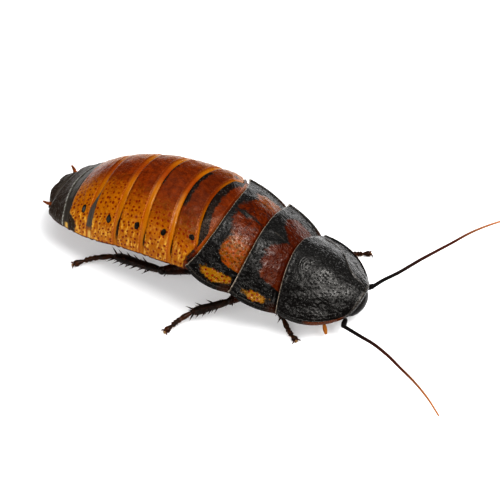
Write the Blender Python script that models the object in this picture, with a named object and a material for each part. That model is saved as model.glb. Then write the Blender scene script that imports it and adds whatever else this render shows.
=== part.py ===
"""Solids of a life-size model of a Madagascar hissing cockroach, standing on the floor.

Working units are millimetres: x runs forward to the head, y to the animal's left,
z up from the floor. Everything is written out in metres at the end.
"""
import bmesh
import bpy
import numpy as np

MM = 0.001
GAP = 0.3

# Abdomen: half-width, height of the side margin and height of the back along the body
ABDOMEN_X = (-43.0, -41.6, -38.3, -30.5, -20.6, -10.6, -0.5, 7.6)
ABDOMEN_WIDTH = (3.9, 5.7, 8.2, 10.6, 12.0, 13.1, 12.75, 12.5)
ABDOMEN_MARGIN = (5.7, 5.8, 6.1, 6.6, 8.6, 9.85, 9.85, 9.55)
ABDOMEN_TOP = (6.5, 7.2, 8.8, 14.8, 18.3, 17.3, 14.05, 10.9)
# Rear edges of the seven broad back plates: x on the midline and x at the margin
TERGITE_EDGES = (
    (-8.3, -5.5),
    (-12.5, -10.45),
    (-17.65, -16.25),
    (-22.7, -22.1),
    (-28.5, -28.15),
    (-34.7, -33.7),
    (-39.6, -39.3),
)
TAIL_TIP = -42.0
TAIL_NOTCH = 0.45
PLATE_STEP = 0.45
SLIVER = 0.45
MARGIN_RIM = 0.45

# Thoracic shields: rear edge on the midline, then rear corner, side control and front corner
METANOTUM = {
    "mid": (-4.65, 15.9),
    "corner": (-7.35, 13.6, 11.2),
    "control": (-3.6, 15.25, 9.0),
    "bulge": 0.3,
}
MESONOTUM = {
    "mid": (2.0, 13.7),
    "corner": (1.15, 13.55, 8.4),
    "control": (5.8, 13.9, 6.55),
    "bulge": 0.3,
}
PRONOTUM = {
    "mid": (8.3, 11.0),
    "corner": (9.7, 11.6, 5.45),
    "control": (16.8, 12.6, 4.2),
    "bulge": 0.9,
}
PRONOTUM_FRONT = (21.1, 5.25, 4.05)
PRONOTUM_FRONT_MID = (22.5, 5.95)
ARC_POWER = 2.37
DOME_POWER = 1.34
SHIELD_EDGE = 0.5
SHIELD_MIDDLE = 1.6

# Underside
STERNITE_SHARE = 0.8
BELLY_X = (-43.0, -38.0, -30.0, -20.0, -10.0, -4.0)
BELLY_Z = (4.3, 3.1, 2.9, 3.7, 4.5, 4.8)
STERNITE_STEP = 0.25
STERNITE_EDGES = (-12.0, -17.2, -22.6, -28.0, -33.6)
CHEST_Z = {"prothorax": 4.5, "mesothorax": 4.8, "metathorax": 4.9}

# Head, an oval that narrows towards the mouth, which points back
HEAD_CENTRE = (19.35, 0.0, 3.0)
HEAD_RADII = (3.45, 4.85, 2.1)
HEAD_NARROWING = 0.3

COLUMNS = 25
ROW_PLACES = (0.0, 0.12, 0.45, 0.62, 0.7, 1.0)
ROW_DROPS = (0.0, 0.0, 0.08, 0.16, 0.38, 0.45)

COLOURS = {
    "black": (0.012, 0.011, 0.012),
    "mahogany": (0.10, 0.022, 0.010),
    "leg": (0.035, 0.015, 0.010),
    "tan": (0.30, 0.11, 0.035),
}

# Legs; the joints are root, hip, knee, ankle, middle of the foot and end of the foot
RIGHT_LEGS = {
    "front": ((14.9, -3.0, 3.0), (11.4, -3.6, 2.6), (7.0, -5.3, 3.1), (10.3, -8.7, 1.25),
              (12.2, -10.4, 0.55), (14.1, -11.8, 0.45)),
    "middle": ((6.9, -2.9, 3.4), (2.8, -5.2, 2.9), (0.9, -11.6, 4.1), (-5.0, -15.1, 1.7),
               (-6.5, -17.8, 1.15), (-7.6, -20.5, 0.45)),
    "hind": ((-0.5, -2.7, 3.4), (-6.2, -3.7, 2.9), (-13.6, -10.4, 4.4), (-24.5, -8.4, 1.7),
             (-28.3, -10.5, 1.2), (-31.0, -12.8, 0.45)),
}
LEFT_LEGS = {
    "front": ((14.9, 3.0, 3.0), (11.4, 3.6, 2.6), (9.2, 8.9, 3.4), (13.4, 12.7, 1.25),
              (15.4, 14.6, 0.55), (17.7, 16.0, 0.45)),
    "middle": ((6.9, 2.9, 3.4), (2.8, 5.2, 2.9), (0.9, 11.2, 4.1), (-4.9, 14.2, 1.7),
               (-6.2, 16.4, 1.15), (-7.0, 18.6, 0.45)),
    "hind": ((-0.5, 2.7, 3.4), (-6.2, 3.7, 2.9), (-13.4, 10.4, 4.4), (-24.3, 8.2, 1.7),
             (-28.2, 10.0, 1.2), (-30.9, 12.0, 0.45)),
}
LEG_SIZES = {
    "front": {"coxa": 1.35, "femur": 1.0, "tibia": 0.62, "tarsus": 0.42},
    "middle": {"coxa": 1.7, "femur": 1.2, "tibia": 0.72, "tarsus": 0.44},
    "hind": {"coxa": 1.9, "femur": 1.35, "tibia": 0.78, "tarsus": 0.46},
}
# Spines along each shin: count, angle round the shin, first and last place along it
SPINE_ROWS = {
    "front": ((3, 95.0, 0.4, 0.92), (3, 200.0, 0.35, 0.9), (3, 335.0, 0.35, 0.9), (3, 270.0, 0.5, 0.96)),
    "middle": ((3, 80.0, 0.4, 0.93), (5, 195.0, 0.3, 0.96), (5, 335.0, 0.3, 0.96),
               (4, 140.0, 0.35, 0.9), (4, 270.0, 0.4, 0.97)),
    "hind": ((5, 80.0, 0.3, 0.95), (7, 195.0, 0.2, 0.97), (7, 335.0, 0.2, 0.97),
             (5, 140.0, 0.3, 0.92), (6, 270.0, 0.3, 0.97)),
}
SPINE_LENGTH = {"front": 0.85, "middle": 1.3, "hind": 1.4}
SPINE_RADIUS = 0.27
SPINE_LEAN = 0.9
SPINE_SIDES = 4
CLAW_LENGTH = 0.4
CLAW_SPREAD = 0.9
CLAW_RADIUS = 0.25
LEG_SIDES = 10

# Feelers: centre lines from the base to the tip
RIGHT_FEELER = ((21.1, -6.9, 2.9), (22.6, -7.3, 2.9), (25.0, -8.3, 3.3), (27.6, -9.4, 3.8),
                (30.7, -10.9, 4.0), (34.1, -12.9, 4.0), (37.4, -14.8, 3.9), (40.8, -17.3, 3.8),
                (43.7, -20.0, 3.7))
LEFT_FEELER = ((22.4, 5.3, 3.1), (23.4, 6.9, 3.5), (25.2, 9.0, 4.2), (28.2, 13.4, 5.4),
               (32.2, 19.6, 6.4), (34.6, 23.4, 7.0), (39.2, 28.5, 7.9), (42.4, 31.2, 8.3))
FEELER_BASE = 0.36
FEELER_END = 0.2
FEELER_SIDES = 8


RANDOM = np.random.default_rng(7)


def clear_scene():
    """Remove every object that the start-up scene holds."""
    for obj in list(bpy.data.objects):
        bpy.data.objects.remove(obj, do_unlink=True)


def material(kind):
    """Return the plain shaded colour of one kind of surface."""
    found = bpy.data.materials.get(kind)
    if found:
        return found
    made = bpy.data.materials.new(kind)
    made.use_nodes = True
    shader = made.node_tree.nodes["Principled BSDF"]
    shader.inputs["Base Color"].default_value = (*COLOURS[kind], 1.0)
    shader.inputs["Roughness"].default_value = 0.4
    return made


def curve(x, knots, values):
    """Smooth curve through the values, with slopes taken from the neighbours."""
    knots = np.asarray(knots, float)
    values = np.asarray(values, float)
    slopes = np.gradient(values, knots)
    x = np.clip(np.asarray(x, float), knots[0], knots[-1])
    cell = np.clip(np.searchsorted(knots, x) - 1, 0, len(knots) - 2)
    step = knots[cell + 1] - knots[cell]
    t = (x - knots[cell]) / step
    low = values[cell] * (1 + 2 * t) * (1 - t) ** 2 + slopes[cell] * step * t * (1 - t) ** 2
    high = values[cell + 1] * t * t * (3 - 2 * t) + slopes[cell + 1] * step * t * t * (t - 1)
    return low + high


def add_solid(name, points, faces, kind):
    """Make one closed solid from points in millimetres, with its faces turned outwards."""
    mesh = bpy.data.meshes.new(name)
    mesh.from_pydata((np.asarray(points, float) * MM).tolist(), [], faces)
    work = bmesh.new()
    work.from_mesh(mesh)
    bmesh.ops.recalc_face_normals(work, faces=work.faces)
    work.to_mesh(mesh)
    work.free()
    mesh.materials.append(material(kind))
    obj = bpy.data.objects.new(name, mesh)
    bpy.context.scene.collection.objects.link(obj)
    return obj


def sheet(name, top, bottom, kind):
    """Solid between two grids of points that share their outline in plan."""
    rows, across = top.shape[:2]
    count = rows * across
    points = np.concatenate([top.reshape(-1, 3), bottom.reshape(-1, 3)])
    faces = []
    for i in range(rows - 1):
        for j in range(across - 1):
            a = i * across + j
            b = a + 1
            c = a + across + 1
            d = a + across
            faces.append((a, b, c, d))
            faces.append((count + d, count + c, count + b, count + a))
    edge = list(range(across))
    edge += [i * across + across - 1 for i in range(1, rows)]
    edge += [(rows - 1) * across + j for j in range(across - 2, -1, -1)]
    edge += [i * across for i in range(rows - 2, 0, -1)]
    for a, b in zip(edge, edge[1:] + edge[:1]):
        faces.append((b, a, count + a, count + b))
    return add_solid(name, points, faces, kind)


def loft(name, rings, kind):
    """Solid through a row of closed rings, with a flat cap on each end."""
    sides = len(rings[0])
    points = np.concatenate(rings)
    faces = [tuple(range(sides))[::-1]]
    for i in range(len(rings) - 1):
        for j in range(sides):
            a = i * sides + j
            b = i * sides + (j + 1) % sides
            faces.append((a, b, b + sides, a + sides))
    last = (len(rings) - 1) * sides
    faces.append(tuple(range(last, last + sides)))
    return add_solid(name, points, faces, kind)


def along(path, places):
    """Points and directions at shares of a smooth path's length."""
    path = np.asarray(path, float)
    steps = np.linalg.norm(np.diff(path, axis=0), axis=1)
    knots = np.concatenate([[0.0], np.cumsum(steps)]) / steps.sum()
    here = np.stack([curve(places, knots, path[:, k]) for k in range(3)], -1)
    ahead = np.stack([curve(np.asarray(places) + 0.01, knots, path[:, k]) for k in range(3)], -1)
    behind = np.stack([curve(np.asarray(places) - 0.01, knots, path[:, k]) for k in range(3)], -1)
    heading = ahead - behind
    heading /= np.linalg.norm(heading, axis=1)[:, None]
    return here, heading, steps.sum()


def frame_of(heading):
    """Side and upward directions across a heading."""
    side = np.cross(heading, (0.0, 0.0, 1.0))
    side /= np.linalg.norm(side)
    return side, np.cross(side, heading)


def limb(name, path, places, radii, kind, flat=1.0, sides=LEG_SIDES, trim=(0.0, 0.0), floor=None):
    """Tapering round limb along a path, shortened at its ends by the trims."""
    places = np.asarray(places, float)
    path = np.asarray(path, float)
    length = along(path, np.array([0.0]))[2]
    places = trim[0] / length + places * (1.0 - (trim[0] + trim[1]) / length)
    here, heading, length = along(path, places)
    turn = np.linspace(0.0, 2.0 * np.pi, sides, endpoint=False)
    rings = []
    for centre, ahead, radius in zip(here, heading, radii):
        side, up = frame_of(ahead)
        ring = centre + radius * (np.outer(np.cos(turn), side) + flat * np.outer(np.sin(turn), up))
        if floor is not None:
            ring[:, 2] = np.maximum(ring[:, 2], floor)
        rings.append(ring)
    return loft(name, rings, kind)


def columns():
    """Shares of the half-width across a plate, closer together near the margins."""
    return np.sin(np.linspace(-0.5 * np.pi, 0.5 * np.pi, COLUMNS))


def abdomen_surface(x, a, drop):
    """Points of the abdomen's back at x and share a of the half-width, sunk by the drop."""
    width = curve(x, ABDOMEN_X, ABDOMEN_WIDTH) - 0.5 * drop
    margin = curve(x, ABDOMEN_X, ABDOMEN_MARGIN)
    top = curve(x, ABDOMEN_X, ABDOMEN_TOP) - drop
    rise = np.sqrt(np.maximum(1.0 - a * a, 0.0))
    return np.stack([x + 0.0 * a, a * width, margin + (top - margin) * rise], -1)


def shield_rear(shield, a):
    """Rear edge of a thoracic shield."""
    mid_x, mid_z = shield["mid"]
    x, y, z = shield["corner"]
    size = np.abs(a)
    rise = (1.0 - a * a) ** DOME_POWER
    return np.stack([mid_x + (x - mid_x) * size ** ARC_POWER, a * y, z + (mid_z - z) * rise], -1)


def shield_rows(shield, front_corner, front_mid, places, a):
    """Rows of points over a shield from its rear edge to its front edge."""
    corner = np.array(shield["corner"])
    control = np.array(shield["control"])
    front_corner = np.array(front_corner)
    mid_x, mid_z = shield["mid"]
    rows = []
    for v in places:
        side = (1 - v) ** 2 * corner + 2 * v * (1 - v) * control + v * v * front_corner
        x = mid_x + (front_mid[0] - mid_x) * v
        z = mid_z + (front_mid[1] - mid_z) * v + 4.0 * shield["bulge"] * v * (1 - v)
        size = np.abs(a)
        rise = (1.0 - a * a) ** DOME_POWER
        rows.append(np.stack([x + (side[0] - x) * size ** ARC_POWER, a * side[1],
                              side[2] + (z - side[2]) * rise], -1))
    return np.array(rows)


def shield_bottom(top):
    """Underside of a shield, thicker towards the middle of its rear edge."""
    bottom = top.copy()
    width = np.abs(top[:, -1:, 1])
    share = 1.0 - (top[:, :, 1] / width) ** 2
    fade = 1.0 - 0.85 * np.linspace(0.0, 1.0, len(top))[:, None] ** 2
    bottom[:, :, 2] -= SHIELD_EDGE + SHIELD_MIDDLE * fade * np.maximum(share, 0.0)
    return bottom


def build_shields():
    """Pronotum, mesonotum and metanotum, and the chest blocks that carry them."""
    a = columns()
    fronts = {
        "pronotum": (PRONOTUM_FRONT, PRONOTUM_FRONT_MID),
        "mesonotum": behind_edge(PRONOTUM),
        "metanotum": behind_edge(MESONOTUM),
    }
    shields = {"pronotum": PRONOTUM, "mesonotum": MESONOTUM, "metanotum": METANOTUM}
    chests = {"pronotum": "prothorax", "mesonotum": "mesothorax", "metanotum": "metathorax"}
    places = np.array([0.0, 0.15, 0.35, 0.55, 0.75, 0.9, 1.0])
    for name, shield in shields.items():
        top = shield_rows(shield, *fronts[name], places, a)
        bottom = shield_bottom(top)
        sheet(name, top, bottom, "black")
        build_chest(chests[name], bottom)


def behind_edge(shield):
    """Front corner and front midpoint of the plate that follows a shield."""
    x, y, z = shield["corner"]
    mid_x, mid_z = shield["mid"]
    return (x - 1.1 * GAP, y * 0.965, z - PLATE_STEP), (mid_x - 1.1 * GAP, mid_z - PLATE_STEP)


def build_chest(name, shield_under):
    """Chest block below a shield, down to the level where the legs begin."""
    middle = COLUMNS // 2
    keep = slice(middle - 5, middle + 6)
    top = shield_under[:, keep].copy()
    top[:, :, 2] -= GAP
    if name == "prothorax":
        top = top[:4]
    bottom = top.copy()
    span = np.linspace(-1.0, 1.0, bottom.shape[1])
    level = CHEST_Z[name] + 0.6 * span ** 2
    bottom[:, :, 2] = np.minimum(level, top[:, :, 2] - 0.6)
    sheet(name, top, bottom, "leg")


def build_tergites():
    """Back plates of the abdomen, each with a raised rear lip over the next."""
    a = columns()
    front = shield_rear(METANOTUM, a)[:, 0] - 1.1 * GAP
    for number, (mid_x, side_x) in enumerate(TERGITE_EDGES, 1):
        rear = mid_x + (side_x - mid_x) * a * a
        rear = np.minimum(rear, front - SLIVER)
        top = tergite_rows(rear, front, a)
        sheet(f"tergite_{number}", top, tergite_under(top), "mahogany")
        front = rear - GAP
    build_tail_plate(front, a)


def tergite_rows(rear, front, a):
    """Rows over one back plate from its rear edge to its front edge."""
    rows = []
    for place, drop in zip(ROW_PLACES, ROW_DROPS):
        x = rear + (front - rear) * place
        rows.append(abdomen_surface(x, a, drop))
    return np.array(rows)


def tergite_under(top):
    """Level underside of a back plate, just below its side margin."""
    bottom = top.copy()
    bottom[:, :, 2] = curve(top[:, :, 0], ABDOMEN_X, ABDOMEN_MARGIN) - MARGIN_RIM
    return bottom


def build_tail_plate(front, a):
    """Last plate over the tip of the abdomen, rounded behind with a shallow notch."""
    tip = TAIL_TIP + TAIL_NOTCH * np.exp(-(a / 0.25) ** 2) + 1.3 * np.abs(a) ** 3
    top = tergite_rows(tip, front, a)
    top[:, :, 1] *= 0.74
    sheet("tail_plate", top, tergite_under(top), "black")


def build_underside():
    """Belly of the abdomen in three solids, stepped at every segment."""
    a = columns()[::2]
    edges = (-6.4,) + STERNITE_EDGES + (-40.9,)
    groups = {"belly_front": (0, 2), "belly_middle": (2, 4), "belly_rear": (4, 6)}
    for name, (first, last) in groups.items():
        rows_top = []
        rows_bottom = []
        for k in range(first, last):
            begin = edges[k] - (0.5 * GAP if k == first else 0.02)
            end = edges[k + 1] + (0.5 * GAP if k == last - 1 else 0.02)
            for x, step in ((begin, STERNITE_STEP), (0.5 * (begin + end), 0.1), (end, 0.0)):
                width = curve(x, ABDOMEN_X, ABDOMEN_WIDTH) * STERNITE_SHARE
                roof = curve(x, ABDOMEN_X, ABDOMEN_MARGIN) - MARGIN_RIM - GAP
                belly = curve(x, BELLY_X, BELLY_Z) + step
                rise = np.sqrt(np.maximum(1.0 - a * a, 0.0))
                side = roof - 0.35
                rows_top.append(np.stack([x + 0.0 * a, a * width, roof + 0.0 * a], -1))
                rows_bottom.append(np.stack([x + 0.0 * a, a * width,
                                             side + (belly - side) * rise], -1))
        sheet(name, np.array(rows_top), np.array(rows_bottom), "mahogany")


def head_points(level, turn, swell=0.0):
    """Points of the head: level runs from the mouth at -1 to the brow at 1, turn goes round it."""
    size = np.sqrt(1.0 - level * level)
    narrow = 1.0 - 0.5 * HEAD_NARROWING * (1.0 - level)
    across = np.stack([level, narrow * size * np.cos(turn), size * np.sin(turn)], -1)
    return np.array(HEAD_CENTRE) + across * (np.array(HEAD_RADII) + np.expand_dims(swell, -1))


def build_head():
    """Head capsule with eyes, face plate, jaws and labium."""
    turn = np.linspace(0.0, 2.0 * np.pi, 20, endpoint=False)
    levels = np.sin(np.linspace(-1.45, 1.45, 11))
    rings = [head_points(np.full(20, level), turn) for level in levels]
    loft("head", rings, "black")
    build_eye("eye_right", np.pi)
    build_eye("eye_left", 0.0)
    for side, sign in (("right", -1.0), ("left", 1.0)):
        jaw = [(15.8, sign * 0.95, 1.6), (15.1, sign * 0.9, 1.4), (14.5, sign * 0.45, 1.35)]
        limb(f"mandible_{side}", jaw, (0.0, 0.4, 0.8, 1.0), (0.65, 0.6, 0.4, 0.2), "black", 0.7, 8)
    face = [(17.3, 0.0, 0.72), (16.3, 0.0, 0.68), (15.2, 0.0, 0.62)]
    limb("labrum", face, (0.0, 0.3, 0.7, 1.0), (1.5, 1.6, 1.3, 0.7), "leg", 0.2, 10)
    chin = [(15.5, 0.0, 2.75), (14.7, 0.0, 2.7), (13.8, 0.0, 2.65)]
    limb("labium", chin, (0.0, 0.3, 0.7, 1.0), (1.2, 1.3, 1.1, 0.8), "leg", 0.3, 10)


def build_eye(name, side):
    """Kidney-shaped eye, a low dome that follows the side of the head."""
    across = np.linspace(-1.0, 1.0, 9)
    u, v = np.meshgrid(across, across, indexing="ij")
    round_u = u * np.sqrt(1.0 - 0.5 * v * v)
    round_v = v * np.sqrt(1.0 - 0.5 * u * u)
    level = np.sin(-0.2 + 0.28 * round_u)
    lift = 0.08 + 0.42 * round_v
    turn = side + lift * np.cos(side)
    dome = np.maximum(1.0 - round_u ** 2 - round_v ** 2, 0.0)
    sheet(name, head_points(level, turn, 0.4 + 0.4 * dome), head_points(level, turn, 0.2 + 0.0 * dome),
          "leg")


def build_palps():
    """Jointed feelers of the mouth."""
    right = [(16.3, -2.2, 1.5), (16.0, -4.2, 2.3), (17.6, -7.4, 2.5), (18.6, -8.4, 0.9)]
    left = [(16.3, 2.2, 1.5), (16.2, 4.2, 2.2), (17.4, 6.4, 1.9), (17.6, 7.2, 0.9)]
    places = np.linspace(0.0, 1.0, 9)
    radii = (0.3, 0.36, 0.3, 0.38, 0.3, 0.4, 0.34, 0.42, 0.28)
    limb("palp_right", right, places, radii, "tan", 1.0, 8)
    limb("palp_left", left, places, radii, "tan", 1.0, 8)


def build_feelers():
    """Feelers, each a stout first joint and a whip in two lengths."""
    sockets = {"right": (20.8, -4.8, 2.5), "left": (21.1, 4.4, 2.5)}
    for side, path in (("right", RIGHT_FEELER), ("left", LEFT_FEELER)):
        start = np.array(path[0])
        root = np.array(sockets[side])
        limb(f"feeler_base_{side}", (root, 0.5 * (root + start), start), (0.0, 0.3, 0.75, 1.0),
             (0.36, 0.5, 0.5, 0.4), "black", 1.0, FEELER_SIDES, (0.0, 0.35))
        parts = {"inner": (0.0, 0.5), "outer": (0.5, 1.0)}
        length = along(path, np.array([0.0]))[2]
        for part, (begin, end) in parts.items():
            share = np.linspace(begin, end, 13)
            share[0] += 0.5 * GAP / length
            share[-1] -= 0.5 * GAP / length
            radii = FEELER_BASE + (FEELER_END - FEELER_BASE) * share ** 1.3
            limb(f"feeler_{part}_{side}", path, share, radii, "leg", 1.0, FEELER_SIDES)


def build_cerci():
    """Short cones beside the tail plate."""
    for side, sign in (("right", -1.0), ("left", 1.0)):
        path = [(-40.5, sign * 5.85, 6.1), (-41.2, sign * 6.0, 6.4), (-41.8, sign * 6.1, 6.7)]
        limb(f"cercus_{side}", path, (0.0, 0.35, 0.7, 1.0), (0.5, 0.5, 0.4, 0.15), "tan", 0.8, 8)


def corner_trim(radius, arriving, leaving):
    """Length to cut from a limb's end so that two limbs meet at a bend without touching."""
    cosine = arriving @ leaving / (np.linalg.norm(arriving) * np.linalg.norm(leaving))
    half = 0.5 * np.arccos(np.clip(cosine, -1.0, 1.0))
    return 0.5 * GAP + radius * np.tan(half)


def build_legs():
    """Six legs, each of coxa, femur, tibia and a foot that rests on the floor."""
    for side, legs in (("right", RIGHT_LEGS), ("left", LEFT_LEGS)):
        for place, joints in legs.items():
            build_leg(side, place, *(np.array(joint) for joint in joints))


def build_leg(side, place, root, hip, knee, ankle, ball, toe):
    """One leg from its joints."""
    size = LEG_SIZES[place]
    tag = f"{place}_{side}"
    at_hip = corner_trim(0.5 * size["femur"], hip - root, knee - hip)
    at_knee = corner_trim(0.6 * size["tibia"], knee - hip, ankle - knee)
    at_ankle = corner_trim(0.7 * size["tarsus"], ankle - knee, ball - ankle)
    limb(f"coxa_{tag}", (root, 0.5 * (root + hip), hip), (0.0, 0.15, 0.35, 0.7, 1.0),
         np.array((0.7, 0.95, 1.0, 0.75, 0.4)) * size["coxa"], "leg", 0.55, LEG_SIDES,
         (0.0, at_hip))
    bow = 0.5 * (hip + knee) + np.array((0.0, 0.0, 0.15))
    limb(f"femur_{tag}", (hip, bow, knee), (0.0, 0.12, 0.35, 0.65, 0.9, 1.0),
         np.array((0.45, 0.75, 1.0, 0.92, 0.75, 0.55)) * size["femur"], "leg", 0.8,
         LEG_SIDES, (at_hip, at_knee))
    shin = limb(f"tibia_{tag}", (knee, 0.5 * (knee + ankle), ankle), (0.0, 0.12, 0.5, 0.9, 1.0),
                np.array((0.6, 0.8, 0.95, 1.1, 0.85)) * size["tibia"], "leg", 0.85, LEG_SIDES,
                (at_knee, at_ankle))
    add_spines(shin, place, knee, ankle, size["tibia"])
    build_tarsus(tag, ankle, ball, toe, size["tarsus"], at_ankle)


def add_spines(shin, place, knee, ankle, radius):
    """Fuse rows of spines into a shin, leaning towards the foot."""
    heading = (ankle - knee) / np.linalg.norm(ankle - knee)
    side, up = frame_of(heading)
    spines = []
    for count, angle, first, last in SPINE_ROWS[place]:
        for along_shin in np.linspace(first, last, count):
            turn = np.radians(angle + RANDOM.uniform(-7.0, 7.0))
            out = np.cos(turn) * side + np.sin(turn) * up
            root = knee + (ankle - knee) * along_shin + 0.45 * radius * out
            reach = SPINE_LENGTH[place] * RANDOM.uniform(0.85, 1.1)
            lean = (out + SPINE_LEAN * heading) / np.hypot(1.0, SPINE_LEAN)
            tip = root + (reach + 0.55 * radius) * lean
            tip[2] = max(tip[2], 0.1)
            spines.append(thorn((root, tip), SPINE_RADIUS))
    unite(shin, spines)


def thorn(path, radius):
    """Slender cone along a few points, with its base at the first."""
    heading = (path[-1] - path[0]) / np.linalg.norm(path[-1] - path[0])
    side, up = frame_of(heading)
    turn = np.linspace(0.0, 2.0 * np.pi, SPINE_SIDES, endpoint=False)
    ring = radius * (np.outer(np.cos(turn), side) + np.outer(np.sin(turn), up))
    shares = np.linspace(1.0, 0.15, len(path))
    return loft("thorn", [point + share * ring for point, share in zip(path, shares)], "leg")


def unite(body, pieces):
    """Fuse closed pieces into a body and keep its largest closed surface."""
    group = bpy.data.collections.new("pieces")
    for piece in pieces:
        bpy.context.scene.collection.objects.unlink(piece)
        group.objects.link(piece)
    fuse = body.modifiers.new("fuse", "BOOLEAN")
    fuse.operation = "UNION"
    fuse.operand_type = "COLLECTION"
    fuse.collection = group
    fuse.solver = "EXACT"
    ready = body.evaluated_get(bpy.context.evaluated_depsgraph_get())
    body.data = bpy.data.meshes.new_from_object(ready)
    body.modifiers.clear()
    for piece in pieces:
        bpy.data.objects.remove(piece, do_unlink=True)
    bpy.data.collections.remove(group)
    keep_largest(body.data)


def keep_largest(mesh):
    """Delete every loose surface of a mesh except the one with most corners."""
    work = bmesh.new()
    work.from_mesh(mesh)
    waiting = set(work.verts)
    islands = []
    while waiting:
        island = {waiting.pop()}
        edge = list(island)
        while edge:
            vertex = edge.pop()
            for link in vertex.link_edges:
                other = link.other_vert(vertex)
                if other not in island:
                    island.add(other)
                    edge.append(other)
        waiting -= island
        islands.append(island)
    islands.sort(key=len)
    for island in islands[:-1]:
        bmesh.ops.delete(work, geom=list(island), context="VERTS")
    work.to_mesh(mesh)
    work.free()


def build_tarsus(tag, ankle, ball, toe, radius, trim):
    """Foot of five joints with a wider end and two claws, flat where it stands on the floor."""
    places = [0.0]
    radii = [0.7]
    for begin, end in ((0.0, 0.36), (0.36, 0.5), (0.5, 0.61), (0.61, 0.7)):
        places += [begin + 0.3 * (end - begin), begin + 0.92 * (end - begin), end]
        radii += [0.95, 1.05, 0.75]
    places += [0.82, 0.94, 1.0]
    radii += [0.8, 1.25, 0.9]
    foot = limb(f"tarsus_{tag}", (ankle, ball, toe), places, np.array(radii) * radius, "leg", 0.95,
                8, (trim, 0.0), 0.0)
    heading = (toe - ball) / np.linalg.norm(toe - ball)
    side = frame_of(heading)[0]
    claws = []
    for sign in (-1.0, 1.0):
        root = toe - 0.35 * heading
        bend = toe + 0.25 * CLAW_LENGTH * heading + sign * 0.6 * CLAW_SPREAD * side
        tip = toe + CLAW_LENGTH * heading + sign * CLAW_SPREAD * side
        bend[2] = 0.6
        tip[2] = 0.2
        claws.append(thorn((root, bend, tip), CLAW_RADIUS))
    unite(foot, claws)


def centre_on_floor():
    """Move the whole model so that the middle of its box stands on the origin."""
    corners = []
    for obj in bpy.context.scene.objects:
        corners += [vertex.co[:] for vertex in obj.data.vertices]
    corners = np.array(corners)
    low = corners.min(axis=0)
    high = corners.max(axis=0)
    offset = np.array([-0.5 * (low[0] + high[0]), -0.5 * (low[1] + high[1]), -low[2]])
    for obj in bpy.context.scene.objects:
        for vertex in obj.data.vertices:
            vertex.co = np.array(vertex.co) + offset


clear_scene()
build_shields()
build_tergites()
build_underside()
build_head()
build_palps()
build_feelers()
build_cerci()
build_legs()
centre_on_floor()
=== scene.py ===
"""Looks of a life-size model of a Madagascar hissing cockroach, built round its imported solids.

Lengths are millimetres in the animal's own frame: x forward to the head, y to its left, z up
from the floor. Piece.build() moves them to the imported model's frame and writes them in metres.
"""
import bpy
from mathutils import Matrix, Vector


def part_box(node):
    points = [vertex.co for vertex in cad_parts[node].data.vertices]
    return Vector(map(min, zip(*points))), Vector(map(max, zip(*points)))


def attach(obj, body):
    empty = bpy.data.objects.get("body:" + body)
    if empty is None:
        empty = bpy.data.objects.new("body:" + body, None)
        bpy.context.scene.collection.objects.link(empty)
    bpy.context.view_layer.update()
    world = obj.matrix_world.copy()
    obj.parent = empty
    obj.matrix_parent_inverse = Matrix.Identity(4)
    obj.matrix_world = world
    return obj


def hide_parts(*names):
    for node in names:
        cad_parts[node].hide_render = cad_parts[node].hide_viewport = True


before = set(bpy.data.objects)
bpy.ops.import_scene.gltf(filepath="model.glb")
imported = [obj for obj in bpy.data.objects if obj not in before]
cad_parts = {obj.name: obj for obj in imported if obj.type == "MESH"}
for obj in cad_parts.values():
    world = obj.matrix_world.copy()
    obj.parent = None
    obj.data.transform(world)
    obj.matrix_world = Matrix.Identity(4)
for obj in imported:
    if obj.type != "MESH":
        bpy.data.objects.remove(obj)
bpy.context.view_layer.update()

from types import SimpleNamespace

import bmesh
import bpy
import numpy as np
from mathutils import Matrix, Vector

# GAP: distance kept between plates and limbs; SHARP_ANGLE: degrees from which an edge is sharp;
# PATH_STEP: share of a path on both sides of a place that gives its direction
MM = 0.001
GAP = 0.3
SIDES = {"right": -1.0, "left": 1.0}
SHARP_ANGLE = 48.0
PATH_STEP = 0.01
RIPPLE_WAVES = 28

# Camera: place in millimetres, turn, rise and roll in degrees, focal length in pixels of a
# picture PICTURE_PIXELS wide, and sensor width in millimetres
CAMERA_PLACE = (72.868, -177.743, 180.774)
CAMERA_TURN = 22.474
CAMERA_RISE = 42.17
CAMERA_ROLL = 3.469
FOCAL_PIXELS = 1400.22
PICTURE_PIXELS = 500
SENSOR = 36.0

# Studio, in metres and watts: place, size, power and whether it casts a shadow
LIGHTS = {
    "key": ((0.24, 0.04, 0.44), 0.4, 1.8, True),
    "spark": ((0.24, 0.04, 0.44), 0.06, 0.75, False),
    "sky": ((0.02, 0.1, 0.5), 0.6, 0.9, True),
    "near": ((-0.14, -0.62, 0.26), 0.6, 2.25, True),
}
LIGHT_TARGET = (0.0, 0.0, 0.01)
AIR_LIGHT = 0.14
FLOOR_REACH = 1.6
FLOOR_POINTS = 9

# Abdomen: half-width, height of the side margin and height of the back along the body
ABDOMEN_X = (-43.0, -41.6, -38.3, -30.5, -20.6, -10.6, -0.5, 7.6)
ABDOMEN_WIDTH = (3.9, 5.7, 8.2, 10.6, 12.0, 13.1, 12.75, 12.5)
ABDOMEN_MARGIN = (5.7, 5.8, 6.1, 6.6, 8.6, 9.85, 9.85, 9.55)
ABDOMEN_TOP = (6.5, 7.2, 8.8, 14.8, 18.3, 17.3, 14.05, 10.9)
TAIL_TIP = -42.0
TAIL_NOTCH = 0.45
TAIL_NARROWING = 0.74
MARGIN_RIM = 0.45
TUCK = 0.9
LAP = 1.3
LIP = 0.3
LIP_ROUNDING = 0.3

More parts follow.
